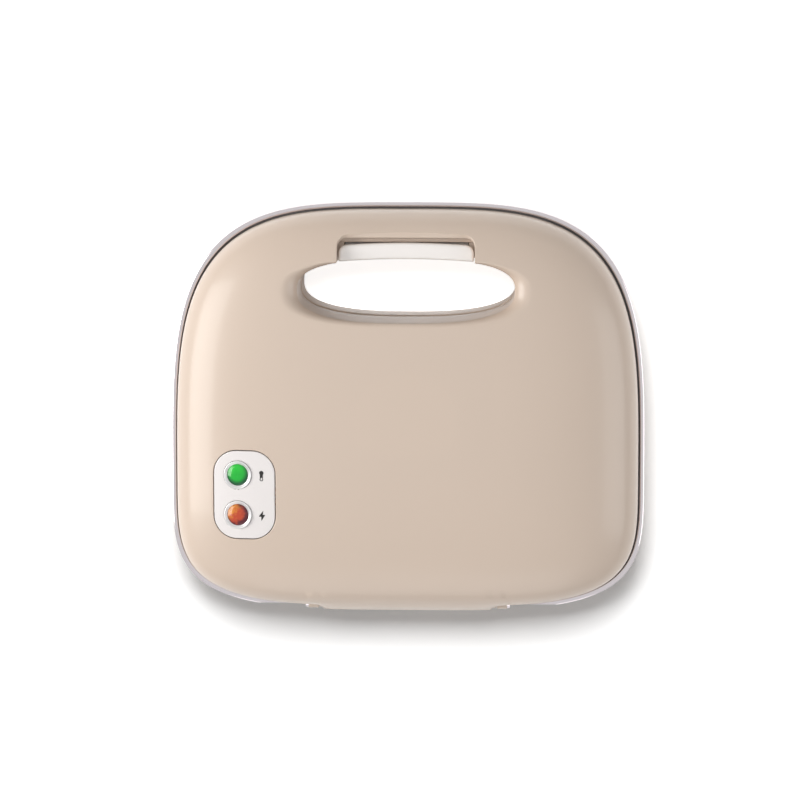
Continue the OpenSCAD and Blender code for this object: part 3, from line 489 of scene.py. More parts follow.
def colour_drift():
    """Slow unevenness of a colour and of its shine, as on any moulded or plated part."""
    tree, source, result = group_of("ColourDrift", [("Colour", "NodeSocketColor", (0.5, 0.5, 0.5, 1)),
                                                    ("Amount", "NodeSocketFloat", 0.05),
                                                    ("Scale", "NodeSocketFloat", 9.0),
                                                    ("Shine", "NodeSocketFloat", 0.4),
                                                    ("Shine Spread", "NodeSocketFloat", 0.05)],
                                    [("Colour", "NodeSocketColor"), ("Roughness", "NodeSocketFloat")])
    place = node(tree, "ShaderNodeTexCoord")
    clouds = node(tree, "ShaderNodeTexNoise", in_3=4.0, in_4=0.55)
    centred = node(tree, "ShaderNodeMath", operation="SUBTRACT", in_1=0.5)
    strength = node(tree, "ShaderNodeMath", operation="MULTIPLY")
    lift = node(tree, "ShaderNodeMath", operation="ADD", in_1=1.0)
    tint = node(tree, "ShaderNodeVectorMath", operation="SCALE")
    spread = node(tree, "ShaderNodeMath", operation="MULTIPLY")
    shine = node(tree, "ShaderNodeMath", operation="ADD")
    wired(tree, (place, "Object", clouds, "Vector"), (source, "Scale", clouds, "Scale"),
                (clouds, 0, centred, 0), (centred, 0, strength, 0), (source, "Amount", strength, 1),
                (strength, 0, lift, 0), (source, "Colour", tint, 0), (lift, 0, tint, "Scale"),
                (tint, 0, result, "Colour"), (centred, 0, spread, 0), (source, "Shine Spread", spread, 1),
                (spread, 0, shine, 0), (source, "Shine", shine, 1), (shine, 0, result, "Roughness"))
    return tree


def finish_of(name, tone, shine, metal=0.0, drift=0.05, drift_scale=9.0, shine_spread=0.06, grain=900.0,
              softness=0.6, bump=0.00002, **sockets):
    """A finish: drifting colour and shine, with a fine grain in its normals."""
    groups = bpy.data.node_groups
    material = bpy.data.materials.new(name)
    material.use_nodes = True
    tree = material.node_tree
    shader = tree.nodes["Principled BSDF"]
    shader.inputs["Metallic"].default_value = metal
    for label, value in sockets.items():
        shader.inputs[label.replace("_", " ")].default_value = value
    drifting = node(tree, "ShaderNodeGroup", node_tree=groups.get("ColourDrift") or colour_drift())
    for label, value in (("Colour", (*tone, 1)), ("Amount", drift), ("Scale", drift_scale), ("Shine", shine),
                         ("Shine Spread", shine_spread)):
        drifting.inputs[label].default_value = value
    texture = node(tree, "ShaderNodeGroup", node_tree=groups.get("MouldedGrain") or moulded_grain())
    texture.inputs["Scale"].default_value = grain
    texture.inputs["Softness"].default_value = softness
    raised = node(tree, "ShaderNodeBump")
    raised.inputs["Strength"].default_value = 0.5
    raised.inputs["Distance"].default_value = bump
    wired(tree, (drifting, "Colour", shader, "Base Color"), (drifting, "Roughness", shader, "Roughness"),
                (texture, "Height", raised, "Height"), (raised, "Normal", shader, "Normal"))
    return material


def lens_finish(name, tone, glow, shade, towards, side, mottle):
    """A plastic lens: painted light towards one side, painted shade towards its rim, with a mottled inside."""
    material = finish_of(name, tone, 0.15, drift=0.0, grain=1500, bump=0.00002, Coat_Weight=0.45,
                         Coat_Roughness=0.03, Specular_IOR_Level=0.35)
    tree = material.node_tree
    shader = tree.nodes["Principled BSDF"]
    centre = at_lamps(side * LAMP_PITCH / 2) @ Vector((0, 0, 0))
    place = node(tree, "ShaderNodeTexCoord")
    moved = node(tree, "ShaderNodeMapping", in_1=tuple(-c * MM for c in centre))
    away = node(tree, "ShaderNodeVectorMath", operation="LENGTH")
    along = node(tree, "ShaderNodeVectorMath", operation="DOT_PRODUCT", in_1=towards)
    blots = node(tree, "ShaderNodeTexNoise", in_2=430.0, in_3=3.0)
    centred = node(tree, "ShaderNodeMath", operation="SUBTRACT", in_1=0.5)
    warped = node(tree, "ShaderNodeMath", operation="MULTIPLY_ADD", in_1=mottle)
    # Painted light: the lens turns to its glow colour on the side the light comes from, broken up by the mottle.
    painted_light_ramp = node(tree, "ShaderNodeMapRange", interpolation_type="SMOOTHSTEP", in_1=-0.0002, in_2=0.005)
    # Painted shade: darker towards the rim and away from the light, broken up by the mottle.
    lean = node(tree, "ShaderNodeMath", operation="MULTIPLY_ADD", in_1=-0.3)
    mottle_and_painted_shade = node(tree, "ShaderNodeMath", operation="MULTIPLY_ADD", in_1=mottle * 0.5)
    dark = node(tree, "ShaderNodeMapRange", interpolation_type="SMOOTHSTEP", in_1=0.0031, in_2=0.0064)
    lit = node(tree, "ShaderNodeMix", data_type="RGBA")
    painted_shade_mix = node(tree, "ShaderNodeMix", data_type="RGBA")
    colours = {lit: (tone, glow), painted_shade_mix: (tone, shade)}
    for mix, (low, high) in colours.items():
        mix.inputs["A"].default_value = (*low, 1)
        mix.inputs["B"].default_value = (*high, 1)
    wired(tree, (place, "Object", moved, "Vector"), (moved, "Vector", away, 0), (moved, "Vector", along, 0),
                (place, "Object", blots, "Vector"), (blots, 0, centred, 0), (centred, 0, warped, 0),
                (along, "Value", warped, 2), (warped, 0, painted_light_ramp, 0), (along, "Value", lean, 0),
                (away, "Value", lean, 2), (centred, 0, mottle_and_painted_shade, 0), (lean, 0, mottle_and_painted_shade, 2), (mottle_and_painted_shade, 0, dark, 0),
                (painted_light_ramp, 0, lit, "Factor"), (lit, "Result", painted_shade_mix, "A"), (dark, 0, painted_shade_mix, "Factor"),
                (painted_shade_mix, "Result", shader, "Base Color"))
    return material


def finishes():
    """All finishes by name, made once."""
    store = bpy.data.materials
    if "satin_shell" in store:
        return store
    c = bpy.context.scene.toaster_colours
    finish_of("satin_shell", c.shell, 0.36, drift=0.035, grain=1400, bump=0.000012, Specular_IOR_Level=0.45,
              Coat_Weight=0.25, Coat_Roughness=0.12)
    finish_of("ivory_gloss", c.ivory, 0.22, drift=0.02, grain=700, bump=0.000006, Coat_Weight=0.3,
              Coat_Roughness=0.08)
    finish_of("latch_gloss", c.cream, 0.22, drift=0.02, grain=700, bump=0.000006, Coat_Weight=0.3,
              Coat_Roughness=0.08)
    # The faint pink tint of the chrome colour is a painted reflection of the beige shells.
    finish_of("bright_chrome", c.chrome, 0.09, metal=1.0, drift=0.03, shine_spread=0.05, grain=300,
              softness=1.0, bump=0.000004)
    finish_of("bezel_silver", (0.76, 0.75, 0.75), 0.34, metal=0.45, drift=0.02, grain=900, bump=0.000004)
    finish_of("frame_plastic", c.frame_dark, 0.5, drift=0.12, grain=1100, softness=0.3, bump=0.00004)
    finish_of("plate_coating", c.coating, 0.38, drift=0.3, drift_scale=60, grain=1600, softness=0.5,
              bump=0.00005, Coat_Weight=0.25, Coat_Roughness=0.25)
    finish_of("plain_steel", c.steel, 0.32, metal=1.0, drift=0.12, drift_scale=120, grain=900, softness=1.0,
              bump=0.00001)
    finish_of("heated_steel", (0.20, 0.18, 0.17), 0.48, metal=1.0, drift=0.5, drift_scale=40, grain=800)
    finish_of("bright_sheet", (0.75, 0.75, 0.76), 0.2, metal=1.0, drift=0.06, drift_scale=30, grain=500)
    finish_of("brass_sheet", (0.66, 0.46, 0.18), 0.3, metal=1.0, drift=0.1, drift_scale=60, grain=700)
    finish_of("soft_rubber", c.rubber, 0.72, drift=0.2, grain=1300, softness=0.2, bump=0.00008)
    # Dark plastic; on the trim rings' inner walls it is painted shade in the groove.
    finish_of("dark_plastic", (0.02, 0.019, 0.018), 0.42, drift=0.15, grain=1000, bump=0.00003)
    finish_of("red_insulation", (0.42, 0.06, 0.03), 0.5, drift=0.08, grain=1500, bump=0.00003)
    finish_of("lamp_glass", (0.85, 0.62, 0.5), 0.08, drift=0.02, grain=400, bump=0.0, Transmission_Weight=0.8)
    finish_of("printed_mark", c.mark, 0.45, drift=0.1, grain=2500, bump=0.00001)
    # The lenses are not lit: glow is painted light on one side of each, shade is painted shade at its rim.
    lens_finish("green_lens_finish", tuple(c.green), glow=(0.015, 0.56, 0.04), shade=(0.002, 0.09, 0.025),
                towards=(0.15, -0.99, 0), side=-1, mottle=0.001)
    lens_finish("amber_lens_finish", tuple(c.amber), glow=(0.72, 0.26, 0.03), shade=(0.09, 0.005, 0.015),
                towards=(0.8, -0.6, 0), side=1, mottle=0.012)
    return store


# ---- shells -----------------------------------------------------------------------------------------------


def skin_rows(height_at, rim_z, up, dome, square, rim, mouth, notch):
    """Rows of points from a shell's rim over its shoulder and across its dome to the mouth of the hand hole."""
    shoulder = math.degrees(math.acos(SHOULDER_SHARE ** (square / 2)))
    rows = []
    foot = np.array([notch(x, y) for x, y in rim])
    deep = up * (foot - rim_z) > SKIRT_H
    start = np.where(deep, rim_z, foot)
    for share in (0, 0.3, 0.65, 1):
        z = start + (rim_z + up * SKIRT_H - start) * share
        rows.append(np.column_stack([rim, z]))
    for k in range(1, 15):
        t = math.radians(shoulder * (k / 14) ** 1.5)
        z = rim_z + up * (SKIRT_H + dome * math.sin(t) ** (2 / square))
        rows.append(np.column_stack([rim * math.cos(t) ** (2 / square), np.full(len(rim), z)]))
    inner = rim * math.cos(math.radians(shoulder)) ** (2 / square)
    for k in range(1, 41):
        share = (k / 40) ** 1.15
        plan = inner + (mouth - inner) * share
        rows.append(np.column_stack([plan, height_at(plan[:, 0], plan[:, 1])]))
    rows = np.array(rows)
    for column in np.where(deep)[0]:
        rows[:, column] = from_height(rows[:, column], up, foot[column])
    return list(rows)


def from_height(column, up, height):
    """Draws the points of a column that come before a height along to it."""
    past = int(np.argmax(up * column[:, 2] > up * height))
    low, high = column[past - 1], column[past]
    edge = low + (high - low) * (height - low[2]) / (high[2] - low[2])
    return np.concatenate([np.repeat(edge[None], past, axis=0), column[past:]])


def lid_mouth():
    """The opening's edge on the crown and the shaft below it, from the front middle to the back middle.

    The third result says what each point belongs to: 0 the thumb scoop, 1 the channel's side, 2 the hole.
    """
    sizes = bpy.context.scene.toaster_sizes
    grow = [v / MM for v in (sizes.rim_side, sizes.rim_front, sizes.rim_back)]
    outer_part = channel_part(0.6, -sizes.scoop_front / MM, SCOOP_BOW)
    inner_part = channel_part(0, CHANNEL_FRONT, 0)
    start = [beyond(part[-1][-1][0] + 1.6, grown)
             for part, grown in ((outer_part, grow), (inner_part, (0, 0, 0)))]
    outer_hole, inner_hole = hole_pair(max(start), 260, grow)
    bends = [bent((part[-1][-1][0], hole[0][1] - 1.2), (part[-1][-1][0], hole[0][1]), hole[0], 7)
             for part, hole in ((outer_part, outer_hole), (inner_part, inner_hole))]
    outer = [*(piece[:-1] for piece in outer_part), bends[0][:-1], outer_hole]
    inner = [*(piece[:-1] for piece in inner_part), bends[1][:-1], inner_hole]
    counts = [len(part) for part in outer]
    kind = np.concatenate([np.zeros(counts[0]), np.linspace(0, 1, counts[1]), np.ones(counts[2]),
                           np.linspace(1, 2, counts[3]), np.full(counts[4], 2.0)])
    return np.concatenate(outer), np.concatenate(inner), kind


def beyond(x, grow):
    """The angle at which the hand hole's grown outline passes a distance from the middle, in front."""
    t = np.linspace(-89.9, 0, 4000)
    return float(t[np.argmax(hole_curve(t, grow)[:, 0] > x)])


def channel_part(edge, front, bow):
    """Front, corner and side of the latch's channel; the front bows back towards its ends."""
    half, corner = CHANNEL_HALF + edge, SCOOP_CORNER + edge
    bowed = lambda points: [(x, y + bow * (x / half) ** 2) for x, y in points]
    arc = [(half - corner + corner * math.cos(t), front + corner + corner * math.sin(t))
           for t in np.radians(np.linspace(-90, 0, 9))]
    side = [(half, front + corner + bow), (half, -HOLE_Y - HOLE_D / 2 - 0.6)]
    front_line = bowed(spaced([(0, front), (half - corner, front)], 27))
    return spaced(front_line, 27), np.array(bowed(arc)), spaced(side, 4)


def bent(a, b, c, count):
    """A smooth bend from a to c that leans towards b."""
    a, b, c = (np.array(p, float) for p in (a, b, c))
    t = np.linspace(0, 1, count)[:, None]
    return a * (1 - t) ** 2 + b * 2 * t * (1 - t) + c * t ** 2


def throat_rows(outer, inner, kind, z_edge, dished):
    """Rows from the mouth into the shaft: rounded at the hole, square at the channel, dished at the scoop."""
    rows = []
    wide = np.maximum(np.linalg.norm(outer - inner, axis=1), 0.2)
    small = np.minimum(LIP_ROUND, wide * 0.5)
    run_in = small * (1 - math.sin(LIP)) / wide
    main_drop = (wide - run_in * wide) * math.tan(LIP / 2)
    steps = [(k / 12, 0) for k in range(1, 13)] + [(1, k / 4) for k in range(1, 5)]
    for k, (main, last) in enumerate(steps):
        share = (k + 1) / len(steps)
        angle = LIP * main
        turn = LIP + (math.pi / 2 - LIP) * last
        ease = (1 - run_in) * math.sin(angle) / math.sin(LIP) + small * (math.sin(turn) - math.sin(LIP)) / wide
        drop = (main_drop * (1 - math.cos(angle)) / (1 - math.cos(LIP))
                + small * (math.cos(LIP) - math.cos(turn)))
        tight = math.sqrt(max(0, 1 - (1 - min(share * 4, 1)) ** 2))
        scoop_in = np.interp(share, [0, 0.08, 0.16, 0.6, 0.7, 0.8, 1], [0, 0.04, 0.12, 0.78, 0.88, 0.98, 1.25])
        scoop_down = (dished * np.interp(share, [0, 0.08, 0.16, 0.6, 0.7], [0, 0.1, 0.22, 0.94, 1])
                      + np.interp(share, [0.6, 0.7, 0.8, 1], [0, 0.1, 0.8, 8.0]))
        round_one = np.column_stack([outer + (inner - outer) * ease[:, None], z_edge - drop])
        side_one = np.column_stack([outer[:, 0] + (inner[:, 0] - outer[:, 0]) * tight,
                                    outer[:, 1] + (inner[:, 1] - outer[:, 1]) * share, z_edge - drop])
        scoop_one = np.column_stack([outer[:, 0] + (inner[:, 0] - outer[:, 0]) * tight,
                                     outer[:, 1] + (inner[:, 1] - outer[:, 1]) * scoop_in, z_edge - scoop_down])
        low = np.clip(kind, 0, 1)[:, None]
        high = np.clip(kind - 1, 0, 1)[:, None]
        row = scoop_one * (1 - low) + side_one * low
        rows.append(row * (1 - high) + round_one * high)
    return rows


def whole(bm):
    """Adds the mirror image on the left."""
    geom = everything(bm)
    bmesh.ops.mirror(bm, geom=geom, matrix=Matrix.Identity(4), merge_dist=0.002, axis="X")
    bmesh.ops.recalc_face_normals(bm, faces=bm.faces)


def half_outline(mouth):
    """A point of the shell's half outline for each point of the mouth, from the front to the back middle."""
    curve = outline(np.linspace(-90, 90, FINE), TRIM_W)
    points = spaced(curve, shares=TURN_SHARE * rim_shares(mouth) + (1 - TURN_SHARE) * shares_of(mouth))
    points[0, 0] = points[-1, 0] = 0
    return points


class TOASTER_OT_lid_shell(bpy.types.Operator):
    """Lid shell: crowned skin with the hand hole's rounded rim, the thumb scoop and the panel's window"""

    bl_idname = "toaster.lid_shell"
    bl_label = "Lid shell"

    def execute(self, context):
        sizes = context.scene.toaster_sizes
        outer, inner, kind = lid_mouth()
        rim = half_outline(outer)
        notch = lambda x, y: LID_Z0 + (EAR_H if EAR_X0 < x < EAR_X1 and y > BACK_Y else 0)
        rim = with_steps(rim, [EAR_X0, EAR_X1])
        rows = skin_rows(crown, LID_Z0, 1, LID_DOME, LID_SQ, rim, outer, notch)
        z_edge = crown(outer[:, 0], outer[:, 1])
        tab_top = float(crown(0, -HOLE_Y - HOLE_D / 2 - 4)) - TAB_DROP
        dished = np.maximum(z_edge - tab_top - 0.4, 0.9)
        rows += throat_rows(outer, inner, kind, z_edge, dished)
        foot = rows[-1][:, 2]
        for share in (0.33, 0.66, 1):
            rows.append(np.column_stack([rows[-1][:, :2], foot + (LID_Z0 - LINING_REACH - foot) * share]))
        for row in rows:
            bulge = cowl(row)
            row[:, 1] = np.minimum(row[:, 1], REAR_Y) + bulge
        bm = bmesh.new()
        lofted(bm, rows)
        whole(bm)
        gap = sizes.panel_gap / MM
        window = [(x + PANEL_X, y + LAMP_Y) for x, y in
                  rounded(PANEL_W + 2 * gap + 0.6, PANEL_D + 2 * gap + 0.6, PANEL_R + gap + 0.3, 12)]
        edges, middle = open_window(bm, window, (0, 1), 2, 1)
        steps = [(0.12, -0.03, None), (0.12, -0.1, None), (0.06, -0.17, None), (0, -2.2, None)]
        sunk(bm, edges, steps, (0, 1), 2, middle, (PANEL_W / 2, PANEL_D / 2))
        piece = placed("lid_cover", bm, [finishes()["satin_shell"]], "lid", 30)
        thickened(piece, WALL)
        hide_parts("lid_shell")
        bm = bmesh.new()
        shelf = tab_top - TAB_T - 1.2
        block(bm, (-CHANNEL_HALF, CHANNEL_FRONT - 0.6, shelf - 1.5),
              (CHANNEL_HALF, CHANNEL_FRONT + 2.6, shelf), 0.3)
        placed("latch_shelf", bm, [finishes()["satin_shell"]], "lid", 30)
        return {"FINISHED"}


def with_steps(rim, places):
    """Moves the rim's back points nearest to each place close to both sides of it, for a clean step."""
    rim = rim.copy()
    back = np.where(rim[:, 1] > BACK_Y)[0]
    for x in places:
        near = back[np.argsort(np.abs(rim[back, 0] - x))[:2]]
        high, low = sorted(near, key=lambda k: rim[k, 0], reverse=True)
        rim[high, 0], rim[low, 0] = x + 0.02, x - 0.02
    return rim


def cowl(row):
    """How far the lid's back bulges over the hinge barrel at each point of a row."""
    x, y, z = np.abs(row[:, 0]), row[:, 1], row[:, 2]
    rise = np.clip((z - BARREL_Z) / 20, 0, 1)
    across = np.clip((EAR_X0 - x) / (2 + 14 * rise), 0, 1) ** 0.5
    upward = (1 - rise) ** 2 * (1 + 2 * rise)
    return np.where(y > BACK_Y, 3.5 * across * upward, 0)


class TOASTER_OT_base_shell(bpy.types.Operator):
    """Base shell: rounded belly with the hand hole, screw wells, heels and the pocket of the latch hook"""

    bl_idname = "toaster.base_shell"
    bl_label = "Base shell"

    def execute(self, context):
        flare = context.scene.toaster_sizes.rim_below / MM
        outer, inner = hole_pair(-90, 300, (flare, flare, flare))
        outer[0, 0] = inner[0, 0] = 0
        count = len(outer)
        rim = with_steps(half_outline(outer), [BAY_X0, BAY_X1, BAY_X2])

        def notch(x, y):
            if y < BACK_Y or x > BAY_X2:
                return BASE_Z1
            return BAY_Z if BAY_X0 < x < BAY_X1 else GAP_Z

        rows = skin_rows(belly, BASE_Z1, -1, BASE_DOME, BASE_SQ, rim, outer, notch)
        z_edge = belly(outer[:, 0], outer[:, 1])
        kind = np.full(count, 2.0)
        rows += [row * [1, 1, 0] + np.column_stack([np.zeros((count, 2)), 2 * z_edge - row[:, 2]])
                 for row in throat_rows(outer, inner, kind, z_edge, np.zeros(count))]
        foot = rows[-1][:, 2]
        over_hook = (inner[:, 0] < HOOK_HALF) & (inner[:, 1] < -HOLE_Y)
        wall_top = np.where(over_hook, HOOK_Z0, BASE_Z1 + LINING_REACH)
        for share in (0.33, 0.66, 1):
            rows.append(np.column_stack([inner, foot + (wall_top - foot) * share]))
        for row in rows:
            row[:, 1] = np.minimum(row[:, 1], REAR_Y)
        bm = bmesh.new()
        lofted(bm, rows)
        whole(bm)
        turns = np.arange(24) * 15
        for x, y in SCREWS:
            edges, middle = open_window(bm, arc_of(WELL_R, turns, (x, y)), (0, 1), 2, -1)
            sunk(bm, edges, [(0.15, 0.05, None), (0.15, 0.2, None), (0, 0, SEAT_Z)], (0, 1), 2, middle,
                 (WELL_R, WELL_R))
        open_window(bm, arc_of(GLAND_R, turns, (GLAND_X, GLAND_Z)), (0, 2), 1, 1)
        piece = placed("base_belly", bm, [finishes()["satin_shell"]], "base", 30)
        thickened(piece, WALL)
        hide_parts("base_shell")
        self.extras()
        return {"FINISHED"}

    def extras(self):
        """Heels to stand on, foot bosses, screw seats and the hook's pocket."""
        bm = bmesh.new()
        for side in (-1, 1):
            x0, x1 = sorted((side * HEEL_X0, side * RING_END))
            block(bm, (x0, 95, HEEL_Z0), (x1, HALF_D, HEEL_Z1), 1.6)
        for x, y in FEET:
            floor = float(belly(x, y))
            spun(bm, [(0, 4), (9.3, 4), (9.8, 4.2), (10, 4.7), (10, floor + 3), (0, floor + 3)], 64,
                 Matrix.Translation((x, y, 0)))
        for x, y in SCREWS:
            spun(bm, [(0, 18.95), (3.9, 18.95), (3.9, 23), (0, 23)], 32, Matrix.Translation((x, y, 0)))
        outer_half, front = HOOK_HALF + HOOK_WALL, HOOK_Y0 - HOOK_WALL
        block(bm, (-outer_half, front, HOOK_Z0 - HOOK_WALL), (outer_half, HOOK_Y1, HOOK_Z0))
        block(bm, (-outer_half, front, HOOK_Z0), (outer_half, HOOK_Y0, HOOK_Z1))
        for side in (-1, 1):
            x0, x1 = sorted((side * HOOK_HALF, side * outer_half))
            block(bm, (x0, HOOK_Y0, HOOK_Z0), (x1, HOOK_Y1, HOOK_Z1))
        placed("base_details", bm, [finishes()["satin_shell"]], "base", 30)


# ---- trim rings -------------------------------------------------------------------------------------------


class TOASTER_OT_trim_rings(bpy.types.Operator):
    """Trim rings: two bright bands round the meeting line, that run out at the back"""

    bl_idname = "toaster.trim_rings"
    bl_label = "Trim rings"

    def execute(self, context):
        groove = context.scene.toaster_sizes.groove / MM
        inner = TRIM_W - groove
        profile = [(0.75, 0), (0.35, 0.1), (0.1, 0.35), (0, 0.75), (0, TRIM_H - 0.75), (0.1, TRIM_H - 0.35),
                   (0.35, TRIM_H - 0.1), (0.75, TRIM_H), (inner - 0.3, TRIM_H), (inner - 0.08, TRIM_H - 0.1),
                   (inner, TRIM_H - 0.3), (inner, TRIM_H - 2.0), (TRIM_W, TRIM_H - 2.2), (TRIM_W, 0)]
        turns = np.arange(0, 360, 1.0)
        for name, body, z0, up, node_name in (("lid_ring", "lid", LID_Z0, 1, "lid_trim_ring"),
                                              ("base_ring", "base", BASE_Z1, -1, "base_trim_ring")):
            rows = [np.column_stack([outline(turns, inset), np.full(len(turns), z0 + up * z)])
                    for inset, z in profile + profile[:1]]
            bm = bmesh.new()
            lofted(bm, rows, closed=True)
            bmesh.ops.remove_doubles(bm, verts=bm.verts, dist=0.0005)
            bmesh.ops.bisect_plane(bm, geom=everything(bm), dist=1e-5,
                                   plane_co=(0, REAR_Y, 0), plane_no=(0, 1, 0), clear_outer=True)
            bmesh.ops.holes_fill(bm, edges=[e for e in bm.edges if e.is_boundary], sides=0)
            for side in (-1, 1):
                bmesh.ops.bisect_plane(bm, geom=everything(bm), dist=1e-5,
                                       plane_co=(side * RING_END, 0, 0), plane_no=(1, 0, 0))
            middles = [(face, face.calc_center_median()) for face in bm.faces]
            gone = [face for face, middle in middles if abs(middle.x) < RING_END and middle.y > 0]
            bmesh.ops.delete(bm, geom=gone, context="FACES")
            bmesh.ops.holes_fill(bm, edges=[e for e in bm.edges if e.is_boundary], sides=0)
            for face in bm.faces:
                middle = face.calc_center_median()
                share = float(body_share(middle.x, middle.y, 0))
                # The ring's inner wall beside the groove takes the dark finish: painted shade in the groove.
                face.material_index = int(2.9 < up * (middle.z - z0) < 4.4 and share < 0.995)
            looks = [finishes()["bright_chrome"], finishes()["dark_plastic"]]
            piece = placed(name, bm, looks, body, 40)
            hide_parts(node_name)
        return {"FINISHED"}


# ---- latch ------------------------------------------------------------------------------------------------


class TOASTER_OT_latch(bpy.types.Operator):
    """Squeeze latch: arched tab, plate, pivot sleeve and hook in one moulding"""

    bl_idname = "toaster.latch"
    bl_label = "Squeeze latch"

    def execute(self, context):
        front = -HOLE_Y - HOLE_D / 2
        middle = front + 0.5 - TAB_D / 2
        top = float(crown(0, middle)) - TAB_DROP
        pivot_y, pivot_z = front - PIVOT_BACK, PART_Z + PIVOT_H
        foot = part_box("latch_lever")[0].z / MM
        bm = bmesh.new()
        rows = []
        steps = [(1.0, -TAB_T), (0.3, -TAB_T + 0.3), (0, -TAB_T + 1.0), (0, -1.6)]
        steps += [(1.6 - 1.6 * math.cos(t), -1.6 + 1.6 * math.sin(t)) for t in np.radians(np.arange(1, 7) * 15)]
        steps += [(2.4, 0), (3.2, 0), (3.9, 0), (4.3, 0)]
        for inset, z in steps:
            crowned = 0.35 if z > -1.7 else 0
            rows.append([(x, y + middle + TAB_BOW * (x / TAB_W * 2) ** 2,
                          top + z - crowned * min(1, (y / 4.5) ** 2)) for x, y in tab_outline(inset)])
        first, last = lofted(bm, rows, closed=True)
        bmesh.ops.edgeloop_fill(bm, edges=first)
        bmesh.ops.edgeloop_fill(bm, edges=last)
        block(bm, (-LEVER_HALF, front - 3, LID_Z0 + 1), (LEVER_HALF, front, top - TAB_T + 0.6), 0.5)
        for side in (-1, 1):
            x0, x1 = sorted((side * SPRING_HALF, side * LEVER_HALF))
            rod(bm, x0, x1, SLEEVE_R, pivot_y, pivot_z)
            block(bm, (x0, pivot_y, pivot_z - 1.5), (x1, front - 1, pivot_z + 1.5), 0.4)
        block(bm, (-NOSE_HALF, front - 3, foot), (NOSE_HALF, front, pivot_z - 6), 0.5)
        block(bm, (-NOSE_HALF, front - 3 - NOSE_REACH, foot), (NOSE_HALF, front - 0.2, foot + NOSE_T), 0.5)
        piece = placed("squeeze_latch", bm, [finishes()["latch_gloss"]], "latch", 35)
        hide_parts("latch_lever")
        return {"FINISHED"}


def tab_outline(inset):
    """Outline of the latch's tab, moved in: round front corners, tight back ones, points along its length."""
    points = []
    for sx, sy, radius, start in ((1, 1, 0.8, 0), (-1, 1, 0.8, 90), (-1, -1, TAB_R, 180), (1, -1, TAB_R, 270)):
        r = max(radius - inset, 0.15)
        x, y = sx * (TAB_W / 2 - inset - r), sy * (TAB_D / 2 - inset - r)
        points += arc_of(r, start + np.linspace(0, 90, 9), (x, y))
        if sx == sy:
            points += [(x - sx * k / 30 * (TAB_W - 2 * inset - 2 * r), points[-1][1]) for k in range(1, 29)]
    return points


# ---- indicators -------------------------------------------------------------------------------------------


class TOASTER_OT_indicator_panel(bpy.types.Operator):
    """Indicator panel: an inlay that follows the crown, with two lamp holes and two printed symbols"""

    bl_idname = "toaster.indicator_panel"
    bl_label = "Indicator panel"

    def execute(self, context):
        edge = 0.45
        bm = bmesh.new()
        grid = bmesh.ops.create_grid(bm, x_segments=56, y_segments=80, size=0.5)["verts"]
        bmesh.ops.scale(bm, vec=(PANEL_W + 4, PANEL_D + 4, 1), verts=grid)
        bmesh.ops.translate(bm, vec=(PANEL_X, LAMP_Y, 0), verts=grid)
        shape = [(x + PANEL_X, y + LAMP_Y) for x, y in
                 rounded(PANEL_W - 2 * edge, PANEL_D - 2 * edge, PANEL_R - edge, 14)]
        kept = set(covered(bm, shape, (0, 1), bm.faces[:]))
        bmesh.ops.delete(bm, geom=[f for f in bm.faces if f not in kept], context="FACES")
        bm.normal_update()
        rings = []
        for side in (-1, 1):
            spot = at_lamps(side * LAMP_PITCH / 2) @ Vector((0, 0, 0))
            ring = arc_of(BEZEL_R + 0.45, np.arange(48) * 7.5, spot)
            rings.append(open_window(bm, ring, (0, 1), 2, 1 if bm.faces[:][0].normal.z > 0 else -1))
        for v in bm.verts:
            v.co.z = float(crown(v.co.x, v.co.y))
        steps = [(0.13, -0.02, None), (0.12, -0.08, None), (0.05, -0.15, None), (0, -1.4, None)]
        for edges, middle in rings:
            sunk(bm, edges, steps, (0, 1), 2, middle, (BEZEL_R, BEZEL_R))
        rim = [e for e in bm.edges if e.is_boundary and all(
            (e.verts[0].co.xy - middle).length > BEZEL_R + 1.5 for _, middle in rings)]
        steps = [(-0.25, -0.04, None), (-0.15, -0.13, None), (-0.05, -0.2, None), (0, -1.4, None)]
        sunk(bm, rim, steps, (0, 1), 2, Vector((PANEL_X, LAMP_Y)), (PANEL_W / 2, PANEL_D / 2))
        piece = placed("indicator_plate", bm, [finishes()["ivory_gloss"]], "lid", 35)
        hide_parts("indicator_panel")
        self.symbols()
        return {"FINISHED"}

    def symbols(self):
        """A thermometer beside the green lamp and a bolt beside the amber one, printed on the panel."""
        bm = bmesh.new()
        bulb = arc_of(1.2, np.linspace(135, 405, 20), (0, -1.75))
        foot = arc_of(0.95, np.linspace(-30, 210, 20), (0, 1.85))
        hollow = [(0.5 * x, 0.8 * y + 1.7) for x, y in arc_of(1, np.arange(20) * 18)]
        bolt = [(-0.8, -2.9), (1.8, 0.5), (0.4, 0.55), (0.3, 2.9), (-1.8, -0.5), (-0.4, -0.6)]
        for (x, y), loop in ((THERMOMETER, bulb + foot), (THERMOMETER, hollow), (BOLT, bolt)):
            thread(bm, [(x + a, y + b, 0) for a, b in loop], closed=True)
        bmesh.ops.triangle_fill(bm, use_beauty=True, use_dissolve=False, edges=bm.edges[:])
        bmesh.ops.subdivide_edges(bm, edges=bm.edges[:], cuts=2, use_grid_fill=True)
        for v in bm.verts:
            v.co.z = float(crown(v.co.x, v.co.y)) + SYMBOL_RISE
        bmesh.ops.solidify(bm, geom=bm.faces[:], thickness=SYMBOL_T)
        placed("panel_symbols", bm, [finishes()["printed_mark"]], "lid", 30)


